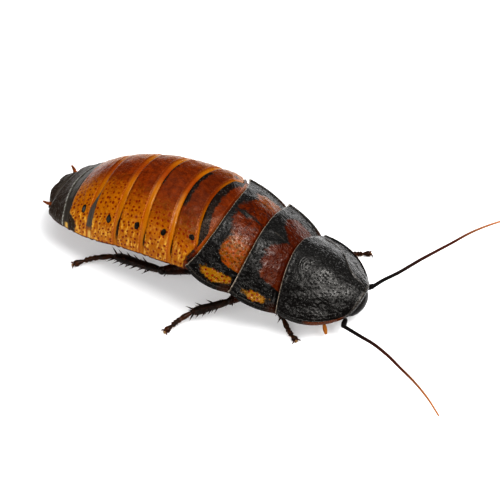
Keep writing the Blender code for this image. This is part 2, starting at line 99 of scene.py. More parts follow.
# Back plates from the chest to the tail. rear: x of the rear edge on the midline and at the
# margin; ridge: distance from the plate ahead to the ridge line; deep: how dark; amber: share of
# the half-width where the brown turns amber; dots: share where the pits begin; band: width of
# the yellow part of the front band; border: width of the black rear border and share that it
# reaches; patch: first share, last share and width of the dark mark in the front band; spot: x,
# share and half-size of the breathing-hole mark, and paleness of its middle. NOWHERE is a share
# beyond the margin
PLATE_COLUMNS = ("rear", "ridge", "deep", "amber", "dots", "band", "border", "patch", "spot")
NOWHERE = 2.0
NO_PATCH = (2.0, 3.0, 1.0)
ALL_BLACK = (9.0, 2.0)
TERGITES = (
    ((-8.3, -5.5), 0.5, 0.35, 0.72, 0.7, -0.1, (1.5, 1.2)),
    ((-12.5, -10.45), 0.6, 0.5, 0.7, 0.6, 0.2, (0.9, 0.42), NO_PATCH, (-8.1, 0.73, 0.4, 0.0)),
    ((-17.65, -16.25), 1.05, 0.3, 0.64, 0.55, 0.65, (0.4, 0.25), (0.8, 0.97, 0.3),
     (-13.2, 0.83, 0.52, 0.0)),
    ((-22.7, -22.1), 1.15, 0.15, 0.56, 0.46, 0.8, (0.0, 0.1), (0.84, 0.98, 0.34),
     (-18.6, 0.87, 0.62, 0.0)),
    ((-28.5, -28.15), 1.15, 0.05, 0.44, 0.38, 0.8, (0.0, 0.1), (0.74, 0.985, 0.5),
     (-24.7, 0.88, 0.62, 0.4)),
    ((-34.7, -33.7), 1.15, 0.0, 0.36, 0.3, 0.7, (0.0, 0.1), (0.5, 0.975, 1.15),
     (-30.8, 0.82, 0.66, 1.0)),
    ((-39.6, -39.3), 1.35, 0.0, NOWHERE, NOWHERE, 0.0, ALL_BLACK),
)
TAIL_PLATE = (None, 0.6, 0.0, NOWHERE, NOWHERE, 0.0, ALL_BLACK)
NOTCHED = ("tergite_6", "tergite_7")
BACK_COLUMNS = 171
TERGITE_ROWS = 64
TAIL_ROWS = 46

# Thoracic shields. mid: rear edge on the midline, x and z; corner: rear corner; control: side
# control point; patch: rear outline of the red patch as shares of the half-width and length;
# yellow: centre and half-lengths of the yellow mark as shares of length and half-width; streak:
# x, y and half-length of the dark streak; deep: how dark the red is
SHIELDS = {
    "pronotum": {
        "mid": (8.3, 11.0), "corner": (9.7, 11.6, 5.45), "control": (16.8, 12.6, 4.2),
        "front_corner": (21.1, 5.25, 4.05), "front_mid": (22.5, 5.95), "bulge": 0.9, "rows": 110,
        "deep": 0.0,
    },
    "mesonotum": {
        "mid": (2.0, 13.7), "corner": (1.15, 13.55, 8.4), "control": (5.8, 13.9, 6.55),
        "bulge": 0.3, "rows": 76, "deep": 0.6,
        "patch": ((0.0, 0.4), (0.23, 0.41), (0.36, 0.38), (0.54, 0.42), (0.66, 0.58), (0.7, 0.84),
                  (0.74, 1.1), (1.0, 1.6)),
        "yellow": (0.53, 0.885, 0.28, 0.055), "streak": (5.4, 4.9, 0.6),
    },
    "metanotum": {
        "mid": (-4.65, 15.9), "corner": (-7.35, 13.6, 11.2), "control": (-3.6, 15.25, 9.0),
        "bulge": 0.3, "rows": 80, "deep": 0.0,
        "patch": ((0.0, 0.17), (0.2, 0.22), (0.4, 0.43), (0.52, 0.34), (0.64, 0.43), (0.71, 0.66),
                  (0.76, 1.1), (1.0, 1.6)),
        "yellow": (0.64, 0.875, 0.38, 0.07), "streak": (-0.8, 5.6, 0.62),
    },
}
# Value of a mask where its mark doesn't show
HIDDEN = -3.0
STREAK_HALF_WIDTH = 0.16
STREAK_SLANT = 0.15
PLATE_STEP = 0.45
ARC_POWER = 2.37
DOME_POWER = 1.34
SHIELD_EDGE = 0.5
SHIELD_MIDDLE = 1.6
SHIELD_COLUMNS = 181
# Curved wrinkles of the first shield: centre, first radius, distance between them, how many
WRINKLE_CENTRE = (14.2, 2.6)
WRINKLE_RADIUS = 2.7
WRINKLE_STEP = 0.42
WRINKLES = 4

# Underside
STERNITE_SHARE = 0.8
BELLY_X = (-43.0, -38.0, -30.0, -20.0, -10.0, -4.0)
BELLY_Z = (4.3, 3.1, 2.9, 3.7, 4.5, 4.8)
STERNITE_STEP = 0.25
STERNITE_EDGES = (-6.4, -12.0, -17.2, -22.6, -28.0, -33.6, -40.9)
STERNITE_ROWS = 34
CHEST = {"prothorax": ("pronotum", 4.5, 0.5), "mesothorax": ("mesonotum", 4.8, 1.0),
         "metathorax": ("metanotum", 4.9, 1.0)}
CHEST_SHARE = 0.61
CHEST_ROWS = 44

# Head
HEAD_CENTRE = (19.35, 0.0, 3.0)
HEAD_RADII = (3.45, 4.85, 2.1)
HEAD_NARROWING = 0.3
EYE_POINTS = 29
# Eyes: middle and half-size in height, then in the turn round the head, and bulge
EYE_LEVEL = (-0.2, 0.28)
EYE_TURN = (0.08, 0.42)
EYE_BULGE = 0.6
# Mouthparts: centre line, places along it and radii there, sides, flatness, rings
JAW_PATH = ((15.8, 0.95, 1.6), (15.1, 0.9, 1.4), (14.5, 0.45, 1.35))
JAW_SHAPE = ((0.0, 0.4, 0.8, 1.0), (0.65, 0.6, 0.4, 0.2), 16, 0.7, 24)
LIPS = {
    "labrum": (((17.3, 0.0, 0.72), (16.3, 0.0, 0.68), (15.2, 0.0, 0.62)),
               (0.0, 0.3, 0.7, 1.0), (1.5, 1.6, 1.3, 0.7), 24, 0.2, 30),
    "labium": (((15.5, 0.0, 2.75), (14.7, 0.0, 2.7), (13.8, 0.0, 2.65)),
               (0.0, 0.3, 0.7, 1.0), (1.2, 1.3, 1.1, 0.8), 24, 0.3, 30),
}
PALPS = {
    "right": ((16.3, -2.2, 1.5), (16.0, -4.2, 2.3), (17.6, -7.4, 2.5), (18.6, -8.4, 0.9)),
    "left": ((16.3, 2.2, 1.5), (16.2, 4.2, 2.2), (17.4, 6.4, 1.9), (17.6, 7.2, 0.9)),
}
PALP_RADII = (0.28, 0.33, 0.24, 0.35, 0.25, 0.38, 0.27, 0.4, 0.22)

# Feelers: sockets, and centre lines from the base to the tip
FEELER_SOCKETS = {"right": (20.8, -4.8, 2.5), "left": (21.1, 4.4, 2.5)}
FEELERS = {
    "right": ((21.1, -6.9, 2.9), (22.6, -7.3, 2.9), (25.0, -8.3, 3.3), (27.6, -9.4, 3.8),
              (30.7, -10.9, 4.0), (34.1, -12.9, 4.0), (37.4, -14.8, 3.9), (40.8, -17.3, 3.8),
              (43.7, -20.0, 3.7)),
    "left": ((22.4, 5.3, 3.1), (23.4, 6.9, 3.5), (25.2, 9.0, 4.2), (28.2, 13.4, 5.4),
             (32.2, 19.6, 6.4), (34.6, 23.4, 7.0), (39.2, 28.5, 7.9), (42.4, 31.2, 8.3)),
}
FEELER_BASE = 0.33
FEELER_END = 0.15
FEELER_SIDES = 12
RING_LENGTH = 0.36
CERCUS_PATH = ((-39.6, 4.4, 5.7), (-40.5, 5.5, 6.2), (-41.4, 6.0, 6.8))
CERCUS_RADII = (0.46, 0.48, 0.4, 0.43, 0.34, 0.36, 0.26, 0.22, 0.1)
CERCUS_BACK = {"right": 0.0, "left": 0.7}

# Legs: root and hip of the left legs, then knee, ankle, middle and end of the foot of each leg
LEG_ROOTS = {
    "front": ((14.9, 3.0, 3.0), (11.4, 3.6, 2.6)),
    "middle": ((6.9, 2.9, 3.4), (2.8, 5.2, 2.9)),
    "hind": ((-0.5, 2.7, 3.4), (-6.2, 3.7, 2.9)),
}
LEGS = {
    "right": {
        "front": ((7.0, -5.3, 3.1), (10.3, -8.7, 1.25), (12.2, -10.4, 0.55), (14.1, -11.8, 0.45)),
        "middle": ((0.9, -11.6, 4.1), (-5.0, -15.1, 1.7), (-6.5, -17.8, 1.15), (-7.6, -20.5, 0.45)),
        "hind": ((-13.6, -10.4, 4.4), (-24.5, -8.4, 1.7), (-28.3, -10.5, 1.2), (-31.0, -12.8, 0.45)),
    },
    "left": {
        "front": ((9.2, 8.9, 3.4), (13.4, 12.7, 1.25), (15.4, 14.6, 0.55), (17.7, 16.0, 0.45)),
        "middle": ((0.9, 11.2, 4.1), (-4.9, 14.2, 1.7), (-6.2, 16.4, 1.15), (-7.0, 18.6, 0.45)),
        "hind": ((-13.4, 10.4, 4.4), (-24.3, 8.2, 1.7), (-28.2, 10.0, 1.2), (-30.9, 12.0, 0.45)),
    },
}
# Radii of coxa, femur, tibia and tarsus
LEG_RADII = {
    "front": (1.35, 1.0, 0.62, 0.42),
    "middle": (1.7, 1.2, 0.72, 0.44),
    "hind": (1.9, 1.35, 0.78, 0.46),
}
# Places along a limb, and shares of its radius there
COXA_SHAPE = ((0.0, 0.15, 0.35, 0.7, 1.0), (0.7, 0.95, 1.0, 0.75, 0.42))
FEMUR_SHAPE = ((0.0, 0.12, 0.35, 0.65, 0.9, 1.0), (0.5, 0.78, 1.0, 0.92, 0.76, 0.6))
TIBIA_SHAPE = ((0.0, 0.12, 0.5, 0.9, 1.0), (0.72, 0.92, 1.04, 1.16, 0.92))
# Spines along each shin: count, angle round the shin, first and last place along it
SPINE_ROWS = {
    "front": ((3, 95.0, 0.4, 0.92), (3, 200.0, 0.35, 0.9), (3, 335.0, 0.35, 0.9),
              (3, 270.0, 0.5, 0.96)),
    "middle": ((3, 80.0, 0.4, 0.93), (5, 195.0, 0.3, 0.96), (5, 335.0, 0.3, 0.96),
               (4, 140.0, 0.35, 0.9), (4, 270.0, 0.4, 0.97)),
    "hind": ((5, 80.0, 0.3, 0.95), (7, 195.0, 0.2, 0.97), (7, 335.0, 0.2, 0.97),
             (5, 140.0, 0.3, 0.92), (6, 270.0, 0.3, 0.97)),
}
SPINE_LENGTH = {"front": 0.85, "middle": 1.3, "hind": 1.4}
SPINE_RADIUS = 0.18
SPINE_LEAN = 0.9
# Spines below each thigh: place along it, and side
THIGH_SPINES = ((0.45, 1.0), (0.62, -1.0), (0.78, 1.0), (0.93, -1.0))
THIGH_SPINE_RADIUS = 0.13
# Foot: begin and end of its first four joints, and middles of their pads, as shares of its length
FOOT_JOINTS = ((0.0, 0.36), (0.36, 0.5), (0.5, 0.61), (0.61, 0.7))
FOOT_PADS = (0.34, 0.485, 0.6, 0.69)
# Claws: distance ahead of the foot's end, distance to the side, and height
CLAW_PATH = ((0.02, 0.15, 0.42), (0.2, 0.4, 0.56), (0.36, 0.68, 0.44), (0.36, 0.9, 0.14))
HAIR_RADIUS = 0.035
# Hairs: how many, and length
HAIRS = {"cercus": (26, 0.22), "femur": (30, 0.4), "tibia": (46, 0.45), "tarsus": (40, 0.3)}

SPINE_RANDOM = np.random.default_rng(7)
HAIR_RANDOM = np.random.default_rng(11)

shield_low, shield_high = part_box("pronotum")
SHIFT = np.array([shield_high[0] / MM - SHIELDS["pronotum"]["front_mid"][0],
                  0.5 * (shield_low[1] + shield_high[1]) / MM, 0.0])


def tone(red, green, blue):
    """Linear colour of an ordinary screen colour."""
    share = np.array([red, green, blue]) / 255.0
    linear = np.where(share > 0.04045, ((share + 0.055) / 1.055) ** 2.4, share / 12.92)
    return (*linear.tolist(), 1.0)


BLACK = tone(17, 15, 14)
SHEEN_SLATE = tone(42, 42, 41)
GREY = tone(74, 74, 72)
MAHOGANY = tone(124, 54, 4)
DARK_MAHOGANY = tone(88, 34, 4)
DEEP_RED = tone(58, 18, 4)
AMBER = tone(162, 100, 3)
TAN = tone(144, 80, 2)
HONEY_HIGHLIGHT = tone(214, 168, 72)
OCHRE = tone(152, 94, 2)
BROWN = tone(132, 62, 6)
PIT = tone(108, 34, 0)
# Colour of the painted glints on the shields' grain
PAINTED_GLINT = tone(90, 91, 87)
TAIL_DARK = tone(44, 40, 35)
BAND_GREY = tone(56, 55, 51)
GREY_BROWN = tone(72, 66, 60)
DARK_SLIT = tone(40, 26, 10)
PALE_HIGHLIGHT_LINE = tone(172, 160, 146)
ORANGE_HIGHLIGHT_LINE = tone(204, 130, 76)
WHITE_HIGHLIGHT_LINE = tone(206, 206, 198)
YELLOW_MARK = tone(126, 86, 3)
YELLOW_PALE = tone(196, 160, 88)
RED_PATCH = tone(92, 36, 0)
LOBE_AMBER = tone(104, 62, 0)
RUST = tone(90, 42, 8)
WHITE = (1.0, 1.0, 1.0, 1.0)
SHIELD_TINT = (1.0, 0.97, 0.93, 1.0)
WARM_GLOSS = (1.0, 0.78, 0.6, 1.0)
SHELL_GLOSS = 0.14


# Curves and masks

def curve(x, knots, values):
    """Smooth curve through the values, with slopes taken from the neighbours."""
    knots = np.asarray(knots, float)
    values = np.asarray(values, float)
    slopes = np.gradient(values, knots)
    x = np.clip(np.asarray(x, float), knots[0], knots[-1])
    cell = np.clip(np.searchsorted(knots, x) - 1, 0, len(knots) - 2)
    step = knots[cell + 1] - knots[cell]
    t = (x - knots[cell]) / step
    low = values[cell] * (1 + 2 * t) * (1 - t) ** 2 + slopes[cell] * step * t * (1 - t) ** 2
    high = values[cell + 1] * t * t * (3 - 2 * t) + slopes[cell + 1] * step * t * t * (t - 1)
    return low + high


def fade(value, start, end):
    """Smooth step from 0 at start to 1 at end."""
    t = np.clip((np.asarray(value, float) - start) / (end - start), 0.0, 1.0)
    return t * t * (3.0 - 2.0 * t)


def bell(value, centre, width):
    """Smooth hump of height 1."""
    return np.exp(-((np.asarray(value, float) - centre) / width) ** 2)


def rounding(distance, reach):
    """Fall from 1 at an edge to 0 at a distance of reach."""
    return np.clip(1.0 - distance / reach, 0.0, 1.0) ** 2


def ripples(points, size, seed):
    """Smooth random field between about -1 and 1 with crests about one size apart."""
    random = np.random.default_rng(seed)
    total = np.zeros(points.shape[:-1])
    for _ in range(RIPPLE_WAVES):
        direction = random.normal(size=3)
        length = np.linalg.norm(direction)
        direction *= 2.0 * np.pi * random.uniform(0.6, 1.4) / (size * length)
        total += np.sin(points @ direction + random.uniform(0.0, 2.0 * np.pi))
    return total / np.sqrt(RIPPLE_WAVES)


def spread(count, crowding=0.7):
    """Shares from 0 to 1, closer together near both ends."""
    t = np.linspace(0.0, 1.0, count)
    return t - crowding * np.sin(2.0 * np.pi * t) / (2.0 * np.pi)


def across(count):
    """Shares of the half-width across a plate, closer together near the margins."""
    return np.sin(np.linspace(-0.5 * np.pi, 0.5 * np.pi, count))


def around(count):
    """Angles of evenly spaced points round a ring."""
    return np.linspace(0.0, 2.0 * np.pi, count, endpoint=False)


def grid(rows, columns):
    """Two arrays that hold the row value and the column value at each point of a grid."""
    return np.meshgrid(rows, columns, indexing="ij")


def unit(vector):
    """The vector at length 1."""
    return vector / np.linalg.norm(vector)


# Meshes

def add_object(name, data):
    """Put an object with this mesh, light or camera in the scene."""
    obj = bpy.data.objects.new(name, data)
    bpy.context.scene.collection.objects.link(obj)
    return obj


class Piece:
    """One visible object, gathered from closed surfaces in millimetres."""

    def __init__(self, name, slot, *looks):
        self.name = name
        self.slot = slot
        self.looks = looks
        self.points = []
        self.faces = []
        self.kinds = []
        self.values = []
        self.count = 0

    def add(self, points, faces, look, values):
        """Add one closed surface; the values are named arrays with a number for each point."""
        points = points.reshape(-1, 3)
        self.points.append(points)
        self.faces += [[corner + self.count for corner in face] for face in faces]
        self.kinds += [look] * len(faces)
        self.values.append((len(points), values))
        self.count += len(points)

    def add_rings(self, points, look=0, **values):
        """Add a closed tube from rings of points; a value is one number, or one for each ring."""
        rings, sides = points.shape[:2]
        values = {name: np.repeat(np.broadcast_to(value, rings), sides)
                  for name, value in values.items()}
        self.add(points, tube_faces(rings, sides), look, values)

    def add_tube(self, points, look=0, **values):
        """Add a tube made by tube(), with its share along the path stored on the points."""
        self.add_rings(points, look, share=spread(len(points)), **values)

    def add_sheet(self, top, bottom, **values):
        """Add a closed sheet from two grids; a value in two parts is for its two faces."""
        shape = top.shape[:2]
        stored = {}
        for name, value in values.items():
            parts = value if isinstance(value, tuple) else (value, value)
            stored[name] = np.concatenate([np.broadcast_to(part, shape).ravel() for part in parts])
        self.add(np.concatenate([top, bottom]), sheet_faces(*shape), 0, stored)

    def build(self, *nodes):
        """Make the object, let it ride on the body and stand for the solids named."""
        mesh = bpy.data.meshes.new(self.name)
        points = (np.concatenate(self.points) + SHIFT) * MM
        mesh.from_pydata(points.tolist(), [], self.faces)
        for look in self.looks:
            mesh.materials.append(LOOKS[look])
        mesh.polygons.foreach_set("material_index", self.kinds)
        mesh.polygons.foreach_set("use_smooth", [True] * len(self.faces))
        work = bmesh.new()
        work.from_mesh(mesh)
        bmesh.ops.recalc_face_normals(work, faces=work.faces)
        work.to_mesh(mesh)
        work.free()
        mesh.set_sharp_from_angle(angle=np.radians(SHARP_ANGLE))
        for name in sorted({name for _, values in self.values for name in values}):
            columns = [values.get(name, np.zeros(count)) for count, values in self.values]
            layer = mesh.attributes.new(name, "FLOAT", "POINT")
            layer.data.foreach_set("value", np.concatenate(columns).astype(float))
        obj = add_object(self.name, mesh)
        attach(obj, "root")
        if nodes:
            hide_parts(*nodes)


def grid_faces(rows, columns, first=0):
    """Four-sided faces over a grid of points."""
    i, j = grid(np.arange(rows - 1), np.arange(columns - 1))
    corner = first + (i * columns + j).ravel()
    return np.stack([corner, corner + 1, corner + columns + 1, corner + columns], -1).tolist()


def sheet_faces(rows, columns):
    """Faces of a closed sheet: an upper grid, a lower grid and the wall round them."""
    count = rows * columns
    faces = grid_faces(rows, columns)
    faces += [face[::-1] for face in grid_faces(rows, columns, count)]
    edge = list(range(columns))
    edge += [i * columns + columns - 1 for i in range(1, rows)]
    edge += [(rows - 1) * columns + j for j in range(columns - 2, -1, -1)]
    edge += [i * columns for i in range(rows - 2, 0, -1)]
    faces += [[b, a, count + a, count + b] for a, b in zip(edge, edge[1:] + edge[:1])]
    return faces


def tube_faces(rings, sides):
    """Faces of a tube with closed ends."""
    i, j = grid(np.arange(rings - 1), np.arange(sides))
    a = (i * sides + j).ravel()
    b = (i * sides + (j + 1) % sides).ravel()
    faces = np.stack([a, b, b + sides, a + sides], -1).tolist()
    last = (rings - 1) * sides
    return faces + [list(range(sides))[::-1], list(range(last, last + sides))]


def path_steps(path):
    """Straight distances between the points of a path."""
    return np.linalg.norm(np.diff(np.asarray(path, float), axis=0), axis=1)


def along(path, places):
    """Points and directions at shares of a smooth path's length."""
    steps = path_steps(path)
    knots = np.concatenate([[0.0], np.cumsum(steps)]) / steps.sum()
    here, ahead, behind = (
        np.stack([curve(np.asarray(places) + shift, knots, line) for line in np.transpose(path)], -1)
        for shift in (0.0, PATH_STEP, -PATH_STEP))
    heading = ahead - behind
    return here, heading / np.linalg.norm(heading, axis=1)[:, None]


def frame_of(heading):
    """Side and upward directions across a heading."""
    side = np.cross(heading, (0.0, 0.0, 1.0))
    side /= np.linalg.norm(side, axis=-1, keepdims=True)
    return side, np.cross(side, heading)


def rings_round(centres, heading, radii, sides, flat=1.0):
    """Rings of points round centres, across one heading or across each centre's own."""
    turn = around(sides)[:, None]
    side, up = (axis[..., None, :] for axis in frame_of(heading))
    ring = np.cos(turn) * side + flat * np.sin(turn) * up
    return centres[:, None] + radii[:, None, None] * ring


def tube(path, places, radii, sides, flat, rings, trim=(0.0, 0.0), floor=None):
    """Rings of a smooth limb with rounded ends.

    The radii hold at the places, which are shares of the path. trim is the length cut from each
    end, and nothing goes below the floor height.
    """
    length = path_steps(path).sum()
    share = spread(rings)
    to_end = np.minimum(share, 1.0 - share) * length / (0.5 * radii[0] + 1e-6)
    end = np.sqrt(np.maximum(1.0 - (1.0 - np.minimum(to_end, 1.0)) ** 2, 0.0))
    radius = curve(share, places, radii) * np.maximum(end, 0.06)
    here, heading = along(path, trim[0] / length + share * (1.0 - (trim[0] + trim[1]) / length))
    points = rings_round(here, heading, radius, sides, flat)
    if floor is not None:
        points[..., 2] = np.maximum(points[..., 2], floor)
    return points


def ball(centre, radius):
    """Rings of a round joint."""
    rise, turn = grid(np.linspace(-0.49 * np.pi, 0.49 * np.pi, 14), around(20))
    level = np.cos(rise)
    return centre + radius * np.stack([level * np.cos(turn), level * np.sin(turn), np.sin(rise)], -1)


def cone(root, tip, radius, sides=6, rings=6, bend=0.0):
    """Rings of a slender curved spine."""
    share = np.linspace(0.0, 1.0, rings)
    centres = root + share[:, None] * (tip - root)
    centres[:, 2] += bend * 4.0 * share * (1.0 - share)
    width = radius * np.maximum(1.0 - share ** 1.4, 0.08)
    return rings_round(centres, unit(tip - root), width, sides)


def build_limb(node, form, slot, look, *shape):
    """A piece that is a single tube; the shape is what tube() asks for."""
    piece = Piece(f"{node}_{form}", slot, look)
    piece.add_tube(tube(*shape))
    piece.build(node)


# Materials

class Field:
    """Result of a shader node; the signs + - * add the nodes that work with it."""

    def __init__(self, shader, socket):
        self.shader = shader
        self.socket = socket

    def __add__(self, other):
        return self.shader.math("ADD", self, other)

    def __sub__(self, other):
        return self.shader.math("SUBTRACT", self, other)

    def __rsub__(self, other):
        return self.shader.math("SUBTRACT", other, self)

    def __mul__(self, other):
        return self.shader.math("MULTIPLY", self, other)


class Shader:
    """A new material, and short ways of adding nodes to it."""

    def __init__(self, name):
        self.material = bpy.data.materials.new(name)
        self.material.use_nodes = True
        self.tree = self.material.node_tree
        self.surface = self.tree.nodes["Principled BSDF"]

    def node(self, kind, inputs, output=0, **settings):
        """Add a node, set or link its inputs and return one of its outputs."""
        node = self.tree.nodes.new(kind)
        for key, value in settings.items():
            setattr(node, key, value)
        for key, value in inputs.items():
            self.feed(node.inputs[key], value)
        return Field(self, node.outputs[output])

    def feed(self, socket, value):
        """Link a socket, or set a constant."""
        if isinstance(value, Field):
            self.tree.links.new(value.socket, socket)
        else:
            socket.default_value = value

    def value(self, name):
        """Number stored on the mesh."""
        return self.node("ShaderNodeAttribute", {}, "Fac", attribute_name=name)

    def place(self):
        """Position in millimetres."""
        where = self.node("ShaderNodeTexCoord", {}, "Object")
        return self.node("ShaderNodeVectorMath", {0: where, 3: 1.0 / MM}, operation="SCALE")

    def math(self, operation, a, b):
        """Result of a sum or another operation on two numbers."""
        return self.node("ShaderNodeMath", {0: a, 1: b}, operation=operation)

    def step(self, value, low, high):
        """Smooth step from 0 to 1 between two levels of a value."""
        return self.node("ShaderNodeMapRange", {"Value": value, "From Min": low, "From Max": high},
                         interpolation_type="SMOOTHSTEP")

    def noise(self, size, detail=3.0, rough=0.55, stretch=None):
        """Cloudy noise between 0 and 1 with features of the size given in millimetres."""
        where = self.place()
        if stretch:
            where = self.node("ShaderNodeVectorMath", {0: where, 1: stretch}, operation="MULTIPLY")
        return self.node("ShaderNodeTexNoise", {"Vector": where, "Scale": 1.0 / size,
                                                "Detail": detail, "Roughness": rough})

    def cells(self, size, jitter, vector=None, dimensions="3D"):
        """Distance to the nearest of many scattered points, in cell sizes."""
        return self.node("ShaderNodeTexVoronoi", {"Vector": vector or self.place(),
                                                  "Scale": 1.0 / size, "Randomness": jitter},
                         "Distance", voronoi_dimensions=dimensions)

    def skin_cells(self, size, jitter):
        """The same on a plate's unrolled surface."""
        skin = self.node("ShaderNodeCombineXYZ", {"X": self.value("skin_x"), "Y": self.value("skin_y")})
        return self.cells(size, jitter, skin, "2D")

    def grain(self, size):
        """Round grains of the size given in millimetres, 1 on top and 0 between them."""
        return 1.0 - self.step(self.cells(size, 1.0), 0.05, 0.42)

    def mix(self, share, a, b):
        """Blend of two colours."""
        return self.node("ShaderNodeMix", {"Factor": share, 6: a, 7: b}, 2, data_type="RGBA")

    def mottle(self, size, detail, rough, low, high, a, b):
        """Two colours in a cloudy pattern."""
        return self.mix(self.step(self.noise(size, detail, rough), low, high), a, b)

    def bump(self, height, depth, normal=None):
        """Surface relief of the depth given in millimetres."""
        inputs = {"Height": height, "Distance": depth * MM, "Strength": 1.0}
        if normal:
            inputs["Normal"] = normal
        return self.node("ShaderNodeBump", inputs, "Normal")

    def finish(self, colour, roughness, normal, coat=0.0, coat_roughness=0.2, specular=0.3,
               tint=WHITE):
        """Connect the surface and return the material."""
        inputs = {"Base Color": colour, "Roughness": roughness, "Normal": normal,
                  "Coat Weight": coat, "Coat Roughness": coat_roughness,
                  "Specular IOR Level": specular, "Specular Tint": tint}
        for name, value in inputs.items():
            self.feed(self.surface.inputs[name], value)
        return self.material


def shield_look(name, gloss):
    """Black granular shield with a red-brown patch and yellow marks; the lighter grey middle is painted
    sheen, the pale specks on the grain are painted glints, and the pale rear line and other pale lines
    are painted highlights.
    """
    s = Shader(name)
    wobble = (s.noise(1.3, 5.0, 0.65) - 0.5) * 2.6
    fine = s.noise(0.35, 4.0, 0.65)
    pits = 1.0 - s.step(s.skin_cells(0.95, 0.85), 0.14, 0.3)
    grain = s.grain(0.52) * s.value("grain")
    # glint: pale specks painted on the grain tops, a painted highlight
    glint = s.step(grain, 0.4, 0.9) * s.step(s.noise(1.2, 2.0), 0.36, 0.6)
    patch = s.step(s.value("patch") + wobble, -0.3, 0.5)
    yellow = s.step(s.value("yellow") + wobble * 0.6, -0.1, 0.25)
    amber = s.step(s.value("amber") + wobble * 0.3, 0.0, 0.9)
    red = s.mottle(0.8, 5.0, 0.7, 0.36, 0.62, DEEP_RED, RED_PATCH)
    red = s.mix(s.value("deep"), red, DEEP_RED)
    lobe = s.mottle(0.7, 4.0, 0.7, 0.36, 0.6, BROWN, LOBE_AMBER)
    lobe = s.mix(pits * 0.6, lobe, DEEP_RED)
    # Painted sheen: the black turns to lighter grey towards the shield's middle
    black = s.mix(s.value("middle") * s.step(fine, 0.2, 0.9), BLACK, SHEEN_SLATE)
    black = s.mix(glint, black, PAINTED_GLINT)
    colour = s.mix(patch, black, s.mix(amber, red, lobe))
    colour = s.mix(yellow, colour, s.mix(pits, YELLOW_MARK, PIT))
    colour = s.mix(s.step(s.value("streak"), 0.3, 0.7), colour, BLACK)
    colour = s.mix(s.value("rust"), colour, RUST)
    # Painted highlight lines along the edges and ridges: orange over the red patch, pale elsewhere
    line = s.mix(patch, PALE_HIGHLIGHT_LINE, ORANGE_HIGHLIGHT_LINE)
    colour = s.mix(s.value("pale") * s.step(fine, 0.25, 0.65), colour, line)
    relief = s.bump(grain, 0.2)
    relief = s.bump(pits * s.math("MAXIMUM", s.value("amber"), yellow), -0.03, relief)
    relief = s.bump(s.noise(0.75, 1.5, 0.5), 0.14, relief)
    relief = s.bump(fine, 0.012, relief)
    rough = fine * 0.16 + 0.15 - s.value("grain") * 0.05
    return s.finish(colour, rough, relief, 0.03, 0.1, gloss, SHIELD_TINT)


def back_look():
    """Back plate: brown along the middle, amber with dark pits at the sides, ochre in front; pale
    streaks low on the sides, lighter grain tops on the black and the pale ridge line are painted
    highlights.
    """
    s = Shader("back_plate_shell")
    wobble = s.noise(1.3, 4.0) - 0.5
    small = s.noise(0.5, 3.0) - 0.5
    fine = s.noise(0.3, 4.0, 0.65)
    side = s.value("side")
    main = s.value("main")
    pits = s.step(s.noise(0.9, 1.0) * 0.3 + 0.05 - s.skin_cells(1.0, 0.62), -0.07, 0.05)
    pits = pits * s.step(s.value("dots") + wobble * 0.5, -0.3, 0.16) * main
    amber = s.step(s.value("amber") + wobble * 0.5, -0.32, 0.26)
    low = s.step(side + wobble * 0.12, 0.76, 0.97)
    # Pale honey streaks low on the sides are painted highlights
    highlight_streaks = s.step(s.noise(0.8, 4.0, 0.65, (1.3, 0.6, 0.45)), 0.46, 0.68)
    brown = s.mottle(1.0, 5.0, 0.65, 0.3, 0.7, DARK_MAHOGANY, MAHOGANY)
    tan = s.mottle(0.6, 4.0, 0.65, 0.32, 0.58, TAN, AMBER)
    warm = s.mix(amber, brown, s.mix(highlight_streaks * (low * 0.85), tan, HONEY_HIGHLIGHT))
    warm = s.mix(s.value("deep"), warm, DEEP_RED)
    warm = s.mix(pits * 0.95, warm, PIT)
    ochre = s.mix(s.step(side, 0.05, 0.4), BROWN, OCHRE)
    dull = s.mix(amber, DARK_MAHOGANY, BROWN)
    front = s.mix(s.step(s.value("band") + small * 0.15, -0.5, 0.2), dull, ochre)
    colour = s.mix(main, front, warm)
    border = s.step(s.value("border") + wobble * 1.4, -0.15, 0.3)
    grain = s.grain(0.55)
    dark = s.mix(s.step(s.value("border"), 3.0, 5.0), BLACK, TAIL_DARK)
    # Painted highlights: the tops of the grains on the black are lighter grey
    dark = s.mix(grain * 0.7, dark, GREY)
    dark = s.mix((1.0 - main) * 0.8, dark, BAND_GREY)
    colour = s.mix(border * 0.96, colour, dark)
    # Painted highlight along each plate's ridge line, white where it crosses the black border
    ridge = s.value("ridge") * s.step(fine, 0.38, 0.62)
    colour = s.mix(ridge * 0.8, colour, s.mix(border, ORANGE_HIGHLIGHT_LINE, WHITE_HIGHLIGHT_LINE))
    mark = s.step(s.value("patch") + small * 0.3, -0.15, 0.12)
    colour = s.mix(mark, colour, s.mix(s.value("patch_pale"), DARK_SLIT, GREY_BROWN))
    spot = s.step(s.value("spot") + small * 0.25, -0.05, 0.07)
    # The grey middle of the breathing-hole mark is partly its own grey and partly a painted highlight
    colour = s.mix(spot, colour, s.mix(s.value("spot_middle"), BLACK, GREY))
    colour = s.mix(s.value("notch"), colour, YELLOW_PALE)
    colour = s.mix(s.step(s.value("rim"), 0.3, 0.8), colour, DEEP_RED)
    relief = s.bump(pits, -0.03)
    relief = s.bump(grain * (border * main), 0.14, relief)
    relief = s.bump(s.noise(0.6, 2.0, 0.5) * main, 0.1, relief)
    relief = s.bump(fine, 0.012, relief)
    rough = fine * 0.18 + border * 0.06 + 0.18
    return s.finish(colour, rough, relief, 0.04, 0.1, SHELL_GLOSS, WARM_GLOSS)


